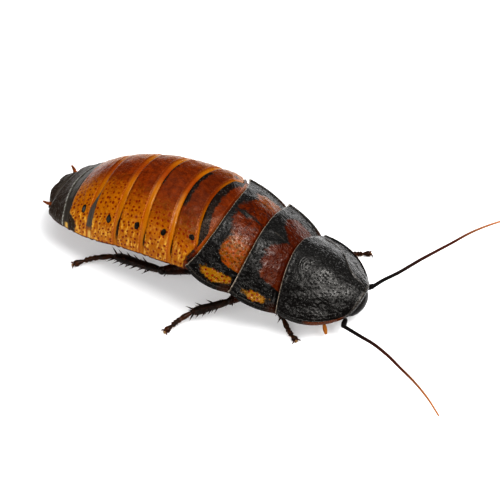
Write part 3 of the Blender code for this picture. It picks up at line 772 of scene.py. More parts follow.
def plain_look(name, dark, light, size, roughness=0.3, relief_depth=0.04, coat=0.05, far=None,
               pits=0.0):
    """Horn of two mixed shades with fine relief, and another shade towards the far end."""
    s = Shader(name)
    colour = s.mottle(size, 4.0, 0.6, 0.35, 0.68, tone(*dark), tone(*light))
    if far:
        low, high, shade = far
        colour = s.mix(s.step(s.value("share"), low, high), colour, tone(*shade))
    fine = s.noise(0.22, 4.0, 0.6)
    relief = s.bump(fine, relief_depth)
    if pits:
        relief = s.bump(s.cells(pits, 1.0), -0.05, relief)
    return s.finish(colour, fine * 0.22 + (roughness - 0.1), relief, coat, 0.15, SHELL_GLOSS)


def feeler_look():
    """Feeler ringed with fine joints, black at the base and pale at the tip."""
    s = Shader("feeler_shell")
    reach = s.value("reach") + s.noise(0.8, 3.0) * 0.08
    colour = s.mix(s.step(reach, 0.1, 0.6), tone(16, 12, 11), tone(74, 32, 18))
    colour = s.mix(s.step(reach, 0.55, 0.95), colour, tone(176, 118, 76))
    colour = s.mix(s.value("seam") * 0.6, colour, tone(26, 14, 10))
    fine = s.noise(0.12, 3.0)
    return s.finish(colour, fine * 0.2 + 0.35, s.bump(fine, 0.02), specular=0.12)


def eye_look():
    """Dark eye made of many small facets."""
    s = Shader("eye_facets")
    facets = s.cells(0.16, 0.25)
    colour = s.mix(s.step(facets, 0.25, 0.6), tone(40, 24, 18), tone(8, 7, 8))
    return s.finish(colour, facets * 0.15 + 0.1, s.bump(facets, -0.05), 0.6, 0.1)


def floor_look():
    """Plain white studio floor with a very faint mottle."""
    s = Shader("studio_floor")
    cloud = s.noise(60.0, 2.0)
    colour = s.mix(cloud, tone(246, 246, 247), tone(250, 250, 250))
    return s.finish(colour, cloud * 0.1 + 0.6, s.bump(s.noise(1.2), 0.01))


LOOKS = {
    "first shield": shield_look("first_shield_shell", 0.25),
    "shield": shield_look("shield_shell", 0.12),
    "back": back_look(),
    "belly": plain_look("belly_plate", (46, 22, 11), (72, 36, 17), 1.5, 0.36, 0.05, 0.1,
                        (0.72, 0.98, (22, 11, 7)), 0.5),
    "chest": plain_look("chest_skin", (66, 44, 33), (98, 70, 51), 0.9, 0.45, 0.08, 0.1),
    "head": plain_look("head_shell", (16, 15, 15), (28, 24, 22), 1.6, 0.28, 0.03, 0.15, pits=0.3),
    "mouth": plain_look("mouthparts", (72, 34, 20), (120, 66, 36), 0.9, 0.3, 0.03),
    "palp": plain_look("palp_shell", (126, 74, 20), (164, 104, 36), 0.8, 0.3, 0.02),
    "leg": plain_look("leg_shell", (20, 12, 6), (54, 24, 7), 1.7, pits=0.34),
    "shin": plain_look("shin_shell", (17, 11, 6), (36, 20, 8), 1.4, 0.32, pits=0.3),
    "spine": plain_look("spine_horn", (24, 13, 9), (44, 22, 12), 0.6, 0.25, 0.01, 0.1,
                        (0.6, 1.0, (70, 34, 20))),
    "foot": plain_look("foot_shell", (28, 16, 8), (66, 36, 16), 0.9, 0.3, 0.03),
    "pad": plain_look("foot_pad", (142, 114, 76), (110, 84, 52), 0.4, 0.5, 0.02, 0.0),
    "claw": plain_look("claw_horn", (40, 18, 12), (92, 44, 24), 0.3, 0.2, 0.01, 0.5,
                       (0.5, 1.0, (20, 10, 8))),
    "cercus": plain_look("cercus_shell", (86, 40, 6), (130, 66, 12), 0.5, 0.35, 0.02),
    "hair": plain_look("fine_hair", (84, 46, 26), (130, 80, 46), 0.4, 0.4, 0.01, 0.0),
    "feeler": feeler_look(),
    "eye": eye_look(),
}


# Shields

def shield_surface(shield, v, a):
    """Points over a shield at shares v from its rear edge and a of its half-width."""
    bends = ((1 - v) ** 2, 2 * v * (1 - v), v * v)
    side = sum(share[..., None] * np.array(shield[point])
               for share, point in zip(bends, ("corner", "control", "front_corner")))
    mid_x, mid_z = shield["mid"]
    front_x, front_z = shield["front_mid"]
    x = mid_x + (front_x - mid_x) * v
    z = mid_z + (front_z - mid_z) * v + 4.0 * shield["bulge"] * v * (1 - v)
    size = np.abs(a)
    rise = np.maximum(1.0 - size * size, 0.0) ** DOME_POWER
    return np.stack([x + (side[..., 0] - x) * size ** ARC_POWER, a * side[..., 1],
                     side[..., 2] + (z - side[..., 2]) * rise], -1)


def shield_depth(v, size):
    """Thickness of a shield away from its thin rear edge."""
    return SHIELD_EDGE + SHIELD_MIDDLE * (1.0 - 0.85 * np.minimum(v, 1.0) ** 2) * (1.0 - size ** 2)


def tuck_under(shield, ahead):
    """Give a shield the front corner and front midpoint that fit under the shield ahead."""
    x, y, z = ahead["corner"]
    mid_x, mid_z = ahead["mid"]
    shield["front_corner"] = (x - 1.1 * GAP, y * 0.965, z - PLATE_STEP)
    shield["front_mid"] = (mid_x - 1.1 * GAP, mid_z - PLATE_STEP)


def skin_lengths(points):
    """Unrolled position of every point of a grid: length from the rear, and across from the midline."""
    steps = np.linalg.norm(np.diff(points, axis=1), axis=-1)
    travelled = np.concatenate([np.zeros((len(points), 1)), np.cumsum(steps, axis=1)], axis=1)
    middle = points.shape[1] // 2
    ahead = np.linalg.norm(np.diff(points, axis=0), axis=-1)
    forward = np.concatenate([np.zeros((1, points.shape[1])), np.cumsum(ahead, axis=0)])
    return points[0, middle, 0] + forward, travelled - travelled[:, middle:middle + 1]


def shield_grid(shield, tuck):
    """Places over a shield: shares v and a, points, and distances from its edges."""
    g = SimpleNamespace(length=shield["front_mid"][0] - shield["mid"][0], width=shield["control"][1])
    g.v, g.a = grid(spread(shield["rows"], 0.6) * (1.0 + tuck / g.length), across(SHIELD_COLUMNS))
    g.size = np.abs(g.a)
    g.base = shield_surface(shield, g.v, g.a)
    g.x, g.y = g.base[..., 0], g.base[..., 1]
    g.from_rear = g.v * g.length
    g.to_front = (1.0 - g.v) * g.length
    g.to_margin = (1.0 - g.size) * g.width
    g.lateral = fade(g.size, 0.35, 0.75)
    return g


def shield_marks(name, g):
    """Masks of one shield's coloured marks."""
    shield = SHIELDS[name]
    marks = {"patch": HIDDEN, "yellow": HIDDEN, "amber": 0.0, "streak": 0.0, "deep": shield["deep"]}
    if name == "pronotum":
        return marks
    on_left = g.a > 0.0
    from_middle = g.size * g.width
    if name == "metanotum":
        stripe = from_middle - 0.4 * fade(g.v, 0.68, 0.5)
        marks["amber"] = fade(g.size, 0.22, 0.52) * fade(g.v, 1.25, 0.75) * (1.0 - 0.35 * on_left)
    else:
        stripe = (g.size - 0.24 * (1.0 - (g.v - 0.4) / 0.45)) * g.width
        stripe = np.maximum(stripe, from_middle - 4.0)
        marks["amber"] = 0.15 * fade(g.size, 0.45, 0.65)
    shares, limits = zip(*shield["patch"])
    marks["patch"] = np.minimum((g.v - curve(g.size, shares, limits)) * g.length, stripe)
    centre_v, centre_share, half_v, half_share = shield["yellow"]
    reach = np.hypot((g.v - centre_v) / half_v, (g.size - centre_share) / half_share)
    marks["yellow"] = (1.0 - reach) * half_share * g.width + HIDDEN * on_left
    x, y, half_length = shield["streak"]
    ahead = g.x - x
    reach = np.hypot(ahead / half_length, (np.abs(g.y) - y - STREAK_SLANT * ahead) / STREAK_HALF_WIDTH)
    marks["streak"] = on_left * fade((1.0 - reach) * STREAK_HALF_WIDTH, -0.02, 0.05)
    return marks


def shield_relief(name, g):
    """Depth of a shield's surface below its plain form: rims, ridges, dents and ripples."""
    sink = 0.16 * rounding(g.from_rear, LIP_ROUNDING) - 0.05 * bell(g.from_rear, 0.5, 0.25)
    sink += 0.1 * bell(g.to_margin, 0.55, 0.22) - 0.13 * bell(g.to_margin, 0.16, 0.13)
    sink += 0.2 * rounding(g.to_margin, 0.05)
    if name == "pronotum":
        sink += pronotum_relief(g)
    else:
        sink += 0.25 * fade(g.to_front, 0.2, -0.3) - 0.03 * bell(g.to_front, 0.75, 0.12)
        sink -= 0.025 * bell(g.y, 0.0, 0.09) * fade(g.v, 0.75, 0.6)
    sink += (0.004 + 0.01 * g.lateral) * ripples(g.base, 0.6, 3)
    return sink + 0.06 * ripples(g.base, 3.2, 5) * fade(g.to_margin, 0.0, 2.0)


def far_ridge(g):
    """Raised line along the far side of the first shield."""
    place = curve(g.v, (0.11, 0.48, 0.74, 0.92), (0.77, 0.63, 0.23, 0.17))
    return bell((g.a - place) * g.width, 0.0, 0.34) * fade(g.v, 0.06, 0.16) * fade(g.v, 0.97, 0.85)


def pronotum_relief(g):
    """Hollow between dome and flange, wrinkles and shallow dents of the first shield."""
    crease = 0.85 - 0.3 * fade(g.v, 0.1, 0.95)
    groove = bell(g.size, crease, 0.07) * fade(g.v, 0.02, 0.2) * fade(g.v, 1.0, 0.85)
    relief = 0.1 * groove * (0.2 + 0.8 * fade(g.y, -1.0, 1.0)) - 0.16 * far_ridge(g)
    x, y = WRINKLE_CENTRE
    ring = np.hypot(g.x - x, (np.abs(g.y) - y) * 1.25)
    arcs = sum(bell(ring, WRINKLE_RADIUS + WRINKLE_STEP * number, 0.1) for number in range(WRINKLES))
    relief -= 0.11 * arcs * fade(g.x, 13.2, 12.0) * fade(g.y, 0.5, -1.0)
    crook = g.y + 3.7 + 0.32 * np.sin(3.4 * g.x)
    relief -= 0.16 * bell(crook, 0.0, 0.1) * bell(g.x, 15.9, 0.9)
    relief += 0.04 * bell(np.hypot(g.x - 17.5, np.abs(g.y) - 3.4), 0.0, 1.3)
    return relief - 0.1 * bell(g.v, 0.985, 0.02) * fade(g.to_margin, 0.0, 1.0)


def build_shield(name):
    """One thoracic shield with its rim, rear lip, ridge line and grain."""
    first = name == "pronotum"
    g = shield_grid(SHIELDS[name], 0.0 if first else TUCK)
    top = g.base.copy()
    top[..., 2] -= shield_relief(name, g)
    thickness = LIP + (shield_depth(g.v, g.size) - LIP) * fade(g.from_rear, LAP - 0.15, LAP)
    if first:
        thickness = np.where(g.from_rear < LAP, LIP, np.maximum(thickness, SHIELD_EDGE))
    else:
        thickness = thickness + np.where(g.to_front < 0.0, 0.1, 0.0)
    bottom = g.base.copy()
    bottom[..., 2] -= thickness
    marks = shield_marks(name, g)
    # pale: painted highlight lines along the rear edge, far ridge, front edge, margin and midline
    pale = (0.9 if first else 0.75) * bell(g.from_rear, 0.08, 0.1)
    if first:
        rust = 0.8 * fade(g.v, 0.34, 0.5) * fade(g.v, 1.0, 0.9) * fade(g.to_margin, 0.32, 0.12)
        pale += 0.14 * far_ridge(g) + 0.15 * bell(g.v, 0.985, 0.012)
        smooth = bell(g.x, 14.5, 4.2) * bell(g.y, 0.8, 4.5)
        grain = 1.0 - 0.6 * np.minimum(1.3 * smooth, 1.0)
    else:
        rust = 0.25 * fade(g.size, 0.86, 0.97) * fade(g.v, 0.7, 0.95)
        pale += 0.2 * bell(g.to_margin, 0.3, 0.08)
        pale += 0.12 * bell(g.y, 0.0, 0.07) * fade(g.v, 0.3, 0.4) * fade(g.v, 0.7, 0.6)
        grain = (0.45 + 0.55 * g.lateral) * (1.0 - 0.5 * fade(marks["patch"], -0.2, 0.3))
    for mark in ("patch", "yellow"):
        marks[mark] = (marks[mark], HIDDEN)
    skin_x, skin_y = skin_lengths(g.base)
    piece = Piece(f"{name}_shell", "shield", "first shield" if first else "shield")
    # middle: share of the painted sheen that greys the shield's middle
    piece.add_sheet(top, bottom, skin_x=skin_x, skin_y=skin_y, grain=grain, rust=rust,
                    middle=fade(g.size, 0.75, 0.2), pale=np.minimum(pale, 1.0), **marks)
    piece.build(name)


def build_chest(name, above, middle_z, reach):
    """Folded chest skin between a shield and the roots of the legs."""
    rows = spread(CHEST_ROWS)
    v, a = grid(rows * reach, np.linspace(-CHEST_SHARE, CHEST_SHARE, 61))
    top = shield_surface(SHIELDS[above], v, a)
    top[..., 2] -= shield_depth(v, a) + GAP
    share = a / CHEST_SHARE
    level = middle_z + 0.6 * share ** 2 - 0.3 * bell(share, 0.0, 0.22)
    level += 0.5 * fade(np.minimum(rows, 1.0 - rows)[:, None], 0.08, 0.0)
    level += 0.18 * ripples(top, 1.6, 21)
    bottom = top.copy()
    bottom[..., 2] = np.minimum(level, top[..., 2] - 0.6)
    piece = Piece(f"{name}_skin", "underside", "chest")
    piece.add_sheet(top, bottom)
    piece.build(name)


def build_shields():
    """Pronotum, mesonotum and metanotum with the chest blocks below them."""
    tuck_under(SHIELDS["mesonotum"], SHIELDS["pronotum"])
    tuck_under(SHIELDS["metanotum"], SHIELDS["mesonotum"])
    for name in SHIELDS:
        build_shield(name)
    for name, size in CHEST.items():
        build_chest(name, *size)


# Back plates

def abdomen(x, values):
    """Half-width, margin height or back height of the abdomen at x."""
    return curve(x, ABDOMEN_X, values)


def abdomen_surface(x, a, sink, lower):
    """Points of the abdomen's back at x and share a of the half-width, sunk by the amounts."""
    width = abdomen(x, ABDOMEN_WIDTH) - 0.5 * np.maximum(sink, 0.0)
    margin = abdomen(x, ABDOMEN_MARGIN) - lower
    top = abdomen(x, ABDOMEN_TOP) - sink
    rise = np.sqrt(np.maximum(1.0 - a * a, 0.0))
    return np.stack([x, a * width, margin + (top - margin) * rise], -1)


def metanotum_rear(a):
    """x of the metanotum's rear edge at share a of its half-width."""
    mid_x = SHIELDS["metanotum"]["mid"][0]
    return mid_x + (SHIELDS["metanotum"]["corner"][0] - mid_x) * np.abs(a) ** ARC_POWER


def press_under_metanotum(points, deeper):
    """Press the back plates down where the metanotum's rear edge overlaps them."""
    y, z = SHIELDS["metanotum"]["corner"][1:]
    beside = np.abs(points[..., 1])
    share = np.clip(beside / y, 0.0, 1.0)
    edge = z + (SHIELDS["metanotum"]["mid"][1] - z) * (1.0 - share * share) ** DOME_POWER
    behind = metanotum_rear(share) - points[..., 0]
    limit = edge - 0.42 + 0.62 * np.maximum(behind, -0.5) - deeper
    limit = np.where(beside < y - 0.2, limit, points[..., 2])
    points[..., 2] = np.minimum(points[..., 2], limit)


def breathing_spot(g, size):
    """Depth inside the breathing-hole mark, and paleness of its middle, which is partly a painted
    highlight.
    """
    spot_x, share, half, paleness = size
    right = slice(g.a.shape[1] // 2, None)
    height = np.interp(share, g.a[0, right], g.plain[len(g.a) // 2, right, 2])
    aside = np.abs(g.plain[..., 1]) - abdomen(spot_x, ABDOMEN_WIDTH) * share
    above = g.plain[..., 2] - height
    reach = np.sqrt(((g.x - spot_x) / 0.5) ** 2 + (aside ** 2 + above ** 2) / (1.25 * half) ** 2)
    spot = (1.0 - reach) * 0.5
    return spot, paleness * fade(spot, 0.1, 0.3)


def back_marks(name, look, g):
    """Masks of one back plate's colours."""
    first, last, wide = look.get("patch", NO_PATCH)
    wide = wide * (0.1 + 0.9 * fade(g.size, first, first + 0.85 * (last - first)))
    patch = np.minimum(np.minimum((g.size - first) * 9.0, (last - g.size) * 9.0), wide - g.raw_front)
    width, border_reach = look["border"]
    border = np.minimum(width - g.raw_rear, (border_reach - g.size) * 6.0)
    main = fade(g.raw_front, g.ridge - 0.06, g.ridge + 0.06)
    if width == 0.0:
        border = border - 1.0
    if name == "tergite_6":
        border = np.maximum(border, 2.2 * fade(g.size, 0.84, 1.0) - 0.3 - g.raw_rear)
    if not g.black:
        border = border - 3.0 * (1.0 - main)
    amber = g.size - look["amber"]
    if name == "tergite_1":
        outside = fade(g.raw_rear, 0.0, -0.05)
        border = border + (0.1 - border) * outside
        main = np.maximum(main, outside)
        amber = amber - 0.5 * outside
    # ridge: strength of the painted highlight along the ridge line
    ridge = bell(g.raw_front, g.ridge + 0.04, 0.08) * (0.2 + 0.6 * fade(g.size, 0.25, 0.6))
    ridge = ridge * fade(border, 0.1, -0.3)
    if name == "tergite_7":
        ridge = bell(g.raw_front, g.ridge + 0.04, 0.12)
    if name == "tail_plate":
        ridge = 0.0
    notch = fade(g.size, 0.982, 0.992) * bell(g.to_front, 0.4, 0.35) * (name in NOTCHED)
    return {"patch": patch, "border": border, "main": main, "amber": amber, "ridge": ridge,
            "notch": notch, "side": g.size, "dots": g.size - look["dots"],
            "band": look["band"] - g.raw_front, "patch_pale": float(name == "tergite_6"),
            "deep": look["deep"] * (1.0 - 0.5 * fade(g.size, 0.6, 0.9)), "rim": (0.0, 1.0)}


def plate_grid(look, edges, edges_ahead, rows):
    """Places over a back plate, with distances from its edges as cut and as drawn."""
    rear, raw = edges
    ahead, ahead_raw = edges_ahead
    a = across(BACK_COLUMNS)
    reach = TUCK * (0.35 + 0.65 * (1.0 - np.abs(a) ** 6))
    g = SimpleNamespace(x=rear + (ahead + reach - rear) * spread(rows, 0.75)[:, None])
    g.a = np.broadcast_to(a, g.x.shape)
    g.size = np.abs(g.a)
    g.from_rear = g.x - rear
    g.to_front = ahead - g.x
    g.raw_rear = g.x - raw
    g.raw_front = ahead_raw - g.x
    g.ridge = look["ridge"]
    g.black = look["border"] == ALL_BLACK
    return g


def plate_sink(g):
    """Depth of a back plate below the abdomen's plain form: front band, lap, lip and ridge."""
    sink = 0.07 * fade(g.to_front, 3.0, g.ridge) + 0.16 * fade(g.to_front, g.ridge, g.ridge - 0.5)
    sink += 0.2 * fade(g.to_front, 0.42, 0.0) + 0.1 * fade(g.to_front, 0.15, -0.4)
    sink += 0.17 * rounding(g.from_rear, LIP_ROUNDING)
    return sink - 0.04 * (bell(g.to_front, g.ridge + 0.06, 0.12) + bell(g.from_rear, 0.5, 0.25))


def build_back_plate(name, row, edges, edges_ahead, rows):
    """One back plate; edges are its rear edge as cut and as drawn, and those of the plate ahead."""
    look = dict(zip(PLATE_COLUMNS, row))
    g = plate_grid(look, edges, edges_ahead, rows)
    if name == "tergite_7":
        g.ridge = g.ridge + 1.1 * (1.0 - g.size * g.size) ** 2
    lower = 0.3 * fade(g.to_front, 0.5, -0.1)
    top = abdomen_surface(g.x, g.a, plate_sink(g), lower)
    g.plain = abdomen_surface(g.x, g.a, 0.0, lower)
    inside = fade(g.size, 1.0, 0.96)
    top[..., 2] += (0.02 + 0.05 * fade(g.size, 0.45, 0.8)) * ripples(g.plain, 1.9, 8) * inside
    if g.black:
        top[..., 2] += 0.025 * ripples(g.plain, 0.9, 9) * inside * fade(g.to_front, g.ridge, 2.0)
    spot, spot_middle = HIDDEN, 0.0
    if "spot" in look:
        spot, spot_middle = breathing_spot(g, look["spot"])
        top[..., 2] -= 0.16 * fade(spot, 0.0, 0.2)
    lap = fade(g.from_rear, LAP - 0.1, LAP)
    if name == "tail_plate":
        top[..., 1] *= TAIL_NARROWING
        g.plain[..., 1] *= TAIL_NARROWING
        lap = 1.0
    bottom = top.copy()
    bottom[..., 2] -= LIP
    underside = np.minimum(abdomen(g.x, ABDOMEN_MARGIN) - MARGIN_RIM - lower, bottom[..., 2])
    bottom[..., 2] += (underside - bottom[..., 2]) * lap
    press_under_metanotum(top, 0.35 * fade(g.to_front, 0.25, -0.05))
    bottom[..., 2] = np.minimum(bottom[..., 2], top[..., 2] - 0.2)
    skin_x, skin_y = skin_lengths(g.plain)
    piece = Piece(f"{name}_shell", "back_plate", "back")
    piece.add_sheet(top, bottom, skin_x=skin_x, skin_y=skin_y, spot=spot, spot_middle=spot_middle,
                    **back_marks(name, look, g))
    piece.build(name)


def build_tergites():
    """The eight back plates of the abdomen, each lapping over the next."""
    a = across(BACK_COLUMNS)
    ahead = (metanotum_rear(a), metanotum_rear(a))
    for number, row in enumerate(TERGITES, 1):
        mid_x, side_x = row[0]
        raw = mid_x + (side_x - mid_x) * a * a
        edges = (np.minimum(raw, ahead[0] - GAP - 0.45), raw)
        build_back_plate(f"tergite_{number}", row, edges, ahead, TERGITE_ROWS)
        ahead = edges
    tip = TAIL_TIP + TAIL_NOTCH * np.exp(-(a / 0.25) ** 2) + 1.3 * np.abs(a) ** 3
    build_back_plate("tail_plate", TAIL_PLATE, (tip, tip), ahead, TAIL_ROWS)


# Underside

def sternite(number):
    """Upper and lower surface of one belly plate, and the share along it."""
    share, a = grid(spread(STERNITE_ROWS), across(81))
    begin = STERNITE_EDGES[number] + (0.35 if number else 1.0)
    end = STERNITE_EDGES[number + 1] + 0.15
    x = begin + (end - begin) * share
    y = a * abdomen(x, ABDOMEN_WIDTH) * STERNITE_SHARE
    roof = abdomen(x, ABDOMEN_MARGIN) - MARGIN_RIM - 0.5 * GAP - 0.15 * (1.0 - share)
    rise = np.sqrt(np.maximum(1.0 - a * a, 0.0))
    belly = curve(x, BELLY_X, BELLY_Z) + STERNITE_STEP * (1.0 - share) + 0.18 * fade(share, 0.96, 1.0)
    side = roof - 0.35
    under = np.stack([x, y, side + (belly - side) * rise], -1)
    under[..., 2] += 0.05 * ripples(under, 2.4, 30 + number) + 0.12 * bell(np.abs(a), 0.78, 0.06) * rise
    return np.stack([x, y, roof], -1), under, share


def build_underside():
    """Belly plates, each lapping over the next, in the three solids' lengths."""
    for name, first in (("belly_front", 0), ("belly_middle", 2), ("belly_rear", 4)):
        piece = Piece(f"{name}_plates", "underside", "belly")
        for number in (first, first + 1):
            top, under, share = sternite(number)
            piece.add_sheet(top, under, share=share)
        piece.build(name)


# Head

def head_points(level, turn, swell):
    """Points of the head: level runs from the mouth at -1 to the brow at 1, turn goes round it."""
    size = np.sqrt(np.maximum(1.0 - level * level, 0.0))
    narrow = 1.0 - 0.5 * HEAD_NARROWING * (1.0 - level)
    way = np.stack([level, narrow * size * np.cos(turn), size * np.sin(turn)], -1)
    return np.array(HEAD_CENTRE) + way * (np.array(HEAD_RADII) + swell[..., None])


def build_head():
    """Head capsule, faceted eyes, face plate, jaws, labium and palps."""
    level, turn = grid(np.sin(np.linspace(-1.5, 1.5, 60)), around(64))
    seam = bell(np.cos(turn), 0.0, 0.05) * (np.sin(turn) < 0) * fade(level, -0.9, -0.2)
    fold = bell(level, -0.62, 0.03) * (np.sin(turn) < -0.3)
    points = head_points(level, turn, -0.05 * seam - 0.06 * fold)
    points[..., 2] += 0.03 * ripples(points, 1.6, 41)
    head = Piece("head_shell", "shield", "head")
    head.add_rings(points)
    head.build("head")
    for side in SIDES:
        build_eye(side)
    for side, sign in SIDES.items():
        jaw = np.array(JAW_PATH) * (1.0, sign, 1.0)
        build_limb(f"mandible_{side}", "horn", "mouth", "mouth", jaw, *JAW_SHAPE)
    for name, shape in LIPS.items():
        build_limb(name, "plate", "mouth", "mouth", *shape)
    for side, path in PALPS.items():
        build_limb(f"palp_{side}", "joints", "palp", "palp", path,
                   np.linspace(0.0, 1.0, len(PALP_RADII)), PALP_RADII, 18, 1.0, 60)


def build_eye(side):
    """Kidney-shaped dome on the side of the head."""
    middle = np.pi if side == "right" else 0.0
    u, v = grid(*[np.linspace(-1.0, 1.0, EYE_POINTS)] * 2)
    round_u = u * np.sqrt(1.0 - 0.5 * v * v)
    round_v = v * np.sqrt(1.0 - 0.5 * u * u)
    level = np.sin(EYE_LEVEL[0] + EYE_LEVEL[1] * round_u)
    turn = middle + (EYE_TURN[0] + EYE_TURN[1] * round_v) * np.cos(middle)
    dome = np.maximum(1.0 - round_u ** 2 - round_v ** 2, 0.0)
    eye = Piece(f"eye_{side}_facets", "eye", "eye")
    eye.add_sheet(head_points(level, turn, 0.15 + EYE_BULGE * np.sqrt(dome)),
                  head_points(level, turn, np.full_like(dome, -0.1)))
    eye.build(f"eye_{side}")


def build_feelers():
    """Feelers: a stout first joint, a short second one and a whip of many rings."""
    for side, path in FEELERS.items():
        start = np.array(path[0])
        root = np.array(FEELER_SOCKETS[side])
        root = root + 0.1 * unit(root - start)
        base = Piece(f"feeler_base_{side}_joint", "feeler", "feeler")
        base.add_tube(tube((root, 0.5 * (root + start), start), (0.0, 0.3, 0.75, 1.0),
                           (0.34, 0.46, 0.48, 0.38), 20, 1.0, 36), reach=0.0)
        base.add_rings(ball(start, 0.37))
        base.build(f"feeler_base_{side}")
        for part, begin, end_width in (("inner", 0.0, 0.8), ("outer", 0.5, 0.4)):
            count = int(0.5 * path_steps(path).sum() / RING_LENGTH)
            share = np.linspace(begin, begin + 0.5, count * 6 + 1)
            phase = (share - begin) / 0.5 * count % 1.0
            seam = bell(np.minimum(phase, 1.0 - phase), 0.0, 0.12)
            radius = FEELER_BASE + (FEELER_END - FEELER_BASE) * share ** 1.3
            radius = radius * (1.04 - 0.16 * seam)
            radius[0] *= 0.8
            radius[-1] *= end_width
            whip = Piece(f"feeler_{part}_{side}_rings", "feeler", "feeler")
            points = rings_round(*along(path, share), radius, FEELER_SIDES)
            whip.add_rings(points, reach=share, seam=seam)
            whip.build(f"feeler_{part}_{side}")


def build_cerci():
    """Short ringed cones beside the tail plate, with a few bristles."""
    for side, sign in SIDES.items():
        path = np.array(CERCUS_PATH) * (1.0, sign, 1.0) - (CERCUS_BACK[side], 0.0, 0.0)
        points = tube(path, np.linspace(0.0, 1.0, len(CERCUS_RADII)), CERCUS_RADII, 18, 0.8, 40)
        cercus = Piece(f"cercus_{side}_cone", "back_plate", "cercus", "hair")
        cercus.add_tube(points)
        add_hairs(cercus, points, 1, *HAIRS["cercus"])
        cercus.build(f"cercus_{side}")


def add_hairs(piece, points, look, count, length):
    """Scatter short bristles over a tube, leaning towards its far end."""
    rings, sides = points.shape[:2]
    for _ in range(count):
        i = int(HAIR_RANDOM.uniform(0.1, 0.98) * (rings - 2)) + 1
        j = int(HAIR_RANDOM.integers(sides))
        root = points[i, j]
        middle = points[i].mean(axis=0)
        out = unit(root - middle)
        ahead = unit(points[min(i + 2, rings - 1)].mean(axis=0) - middle)
        reach = length * HAIR_RANDOM.uniform(0.6, 1.2)
        tip = root + reach * (0.7 * out + 0.7 * ahead)
        tip[2] = max(tip[2], 0.03)
        piece.add_rings(cone(root - 0.05 * out, tip, HAIR_RADIUS, 3, 3), look)


# Legs

def corner_trim(radius, before, corner, after):
    """Length to cut from a limb's end so that two limbs meet at a bend without touching."""
    cosine = unit(corner - before) @ unit(after - corner)
    return 0.5 * GAP + radius * np.tan(0.5 * np.arccos(np.clip(cosine, -1.0, 1.0)))


def profile(shape, radius):
    """Places along a limb and its radii there."""
    places, shares = shape
    return places, np.array(shares) * radius


def build_legs():
    """Six legs, each of coxa, femur, tibia and a foot that rests on the floor."""
    for side, legs in LEGS.items():
        for place, joints in legs.items():
            upper = [np.array(joint) * (1.0, SIDES[side], 1.0) for joint in LEG_ROOTS[place]]
            build_leg(side, place, *upper, *(np.array(joint) for joint in joints))


def build_leg(side, place, root, hip, knee, ankle, middle, toe):
    """One leg from its joints."""
    coxa, thigh, shin, foot = LEG_RADII[place]
    tag = f"{place}_{side}"
    at_hip = 0.4 * corner_trim(0.5 * thigh, root, hip, knee)
    at_knee = 0.5 * corner_trim(0.6 * shin, hip, knee, ankle)
    at_ankle = corner_trim(0.7 * foot, knee, ankle, middle)
    build_limb(f"coxa_{tag}", "shell", "leg", "leg", (root, 0.5 * (root + hip), hip),
               *profile(COXA_SHAPE, coxa), 28, 0.55, 40, (0.0, at_hip))
    build_femur(tag, hip, knee, thigh, (at_hip, at_knee))
    build_tibia(tag, place, knee, ankle, shin, foot, (at_knee, at_ankle))
    build_foot(tag, ankle, middle, toe, foot, at_ankle)


def build_femur(tag, hip, knee, radius, trim):
    """Thigh with a keel below, short spines and hairs."""
    femur = Piece(f"femur_{tag}_shell", "leg", "leg", "spine", "hair")
    bow = 0.5 * (hip + knee) + np.array((0.0, 0.0, 0.15))
    points = tube((hip, bow, knee), *profile(FEMUR_SHAPE, radius), 32, 0.8, 54, trim)
    share, turn = grid(spread(54), around(32))
    keel = bell(np.cos(turn + 0.5 * np.pi), 0.0, 0.25) * (np.sin(turn) < 0)
    points[..., 2] += 0.12 * keel * radius * fade(share, 0.1, 0.3) * fade(share, 0.98, 0.85)
    points[..., 2] += 0.015 * ripples(points, 0.9, 51)
    femur.add_tube(points)
    femur.add_rings(ball(knee, 0.6 * radius))
    femur.add_rings(ball(hip, 0.5 * radius))
    add_hairs(femur, points, 2, *HAIRS["femur"])
    heading = unit(knee - hip)
    side, up = frame_of(heading)
    for share, sign in THIGH_SPINES:
        out = -0.9 * up + 0.45 * sign * side
        root = hip + share * (knee - hip) + 0.55 * radius * out
        add_spine(femur, cone(root, root + 0.5 * out + 0.35 * heading, THIGH_SPINE_RADIUS))
    femur.build(f"femur_{tag}")


def add_spine(piece, points):
    """Add a spine in the piece's second look, with its share towards the tip."""
    piece.add_rings(points, 1, share=np.linspace(0.0, 1.0, len(points)))


def build_tibia(tag, place, knee, ankle, radius, foot_radius, trim):
    """Shin with rows of curved spines in raised sockets, leaning towards the foot, and hairs."""
    piece = Piece(f"tibia_{tag}_shell", "leg", "shin", "spine", "hair")
    points = tube((knee, 0.5 * (knee + ankle), ankle), *profile(TIBIA_SHAPE, radius), 28, 0.9, 60,
                  trim)
    share, turn = grid(spread(60), around(28))
    points[..., 2] += 0.03 * radius * np.cos(4.0 * turn) * fade(share, 0.05, 0.2)
    piece.add_tube(points)
    heading = unit(ankle - knee)
    side, up = frame_of(heading)
    for count, angle, first, last in SPINE_ROWS[place]:
        for along_shin in np.linspace(first, last, count):
            turn = np.radians(angle + SPINE_RANDOM.uniform(-7.0, 7.0))
            out = np.cos(turn) * side + np.sin(turn) * up
            root = knee + (ankle - knee) * along_shin + 0.45 * radius * out
            reach = 1.12 * SPINE_LENGTH[place] * SPINE_RANDOM.uniform(0.85, 1.1)
            lean = (out + SPINE_LEAN * heading) / np.hypot(1.0, SPINE_LEAN)
            tip = root + (reach + 0.55 * radius) * lean
            tip[2] = max(tip[2], 0.1)
            add_spine(piece, cone(root, tip, SPINE_RADIUS, 8, 9, 0.04))
            piece.add_rings(cone(root, root + 0.75 * radius * lean, 1.7 * SPINE_RADIUS, 10, 5))
    piece.add_rings(ball(ankle, 0.95 * foot_radius))
    add_hairs(piece, points, 2, *HAIRS["tibia"])
    piece.build(f"tibia_{tag}")


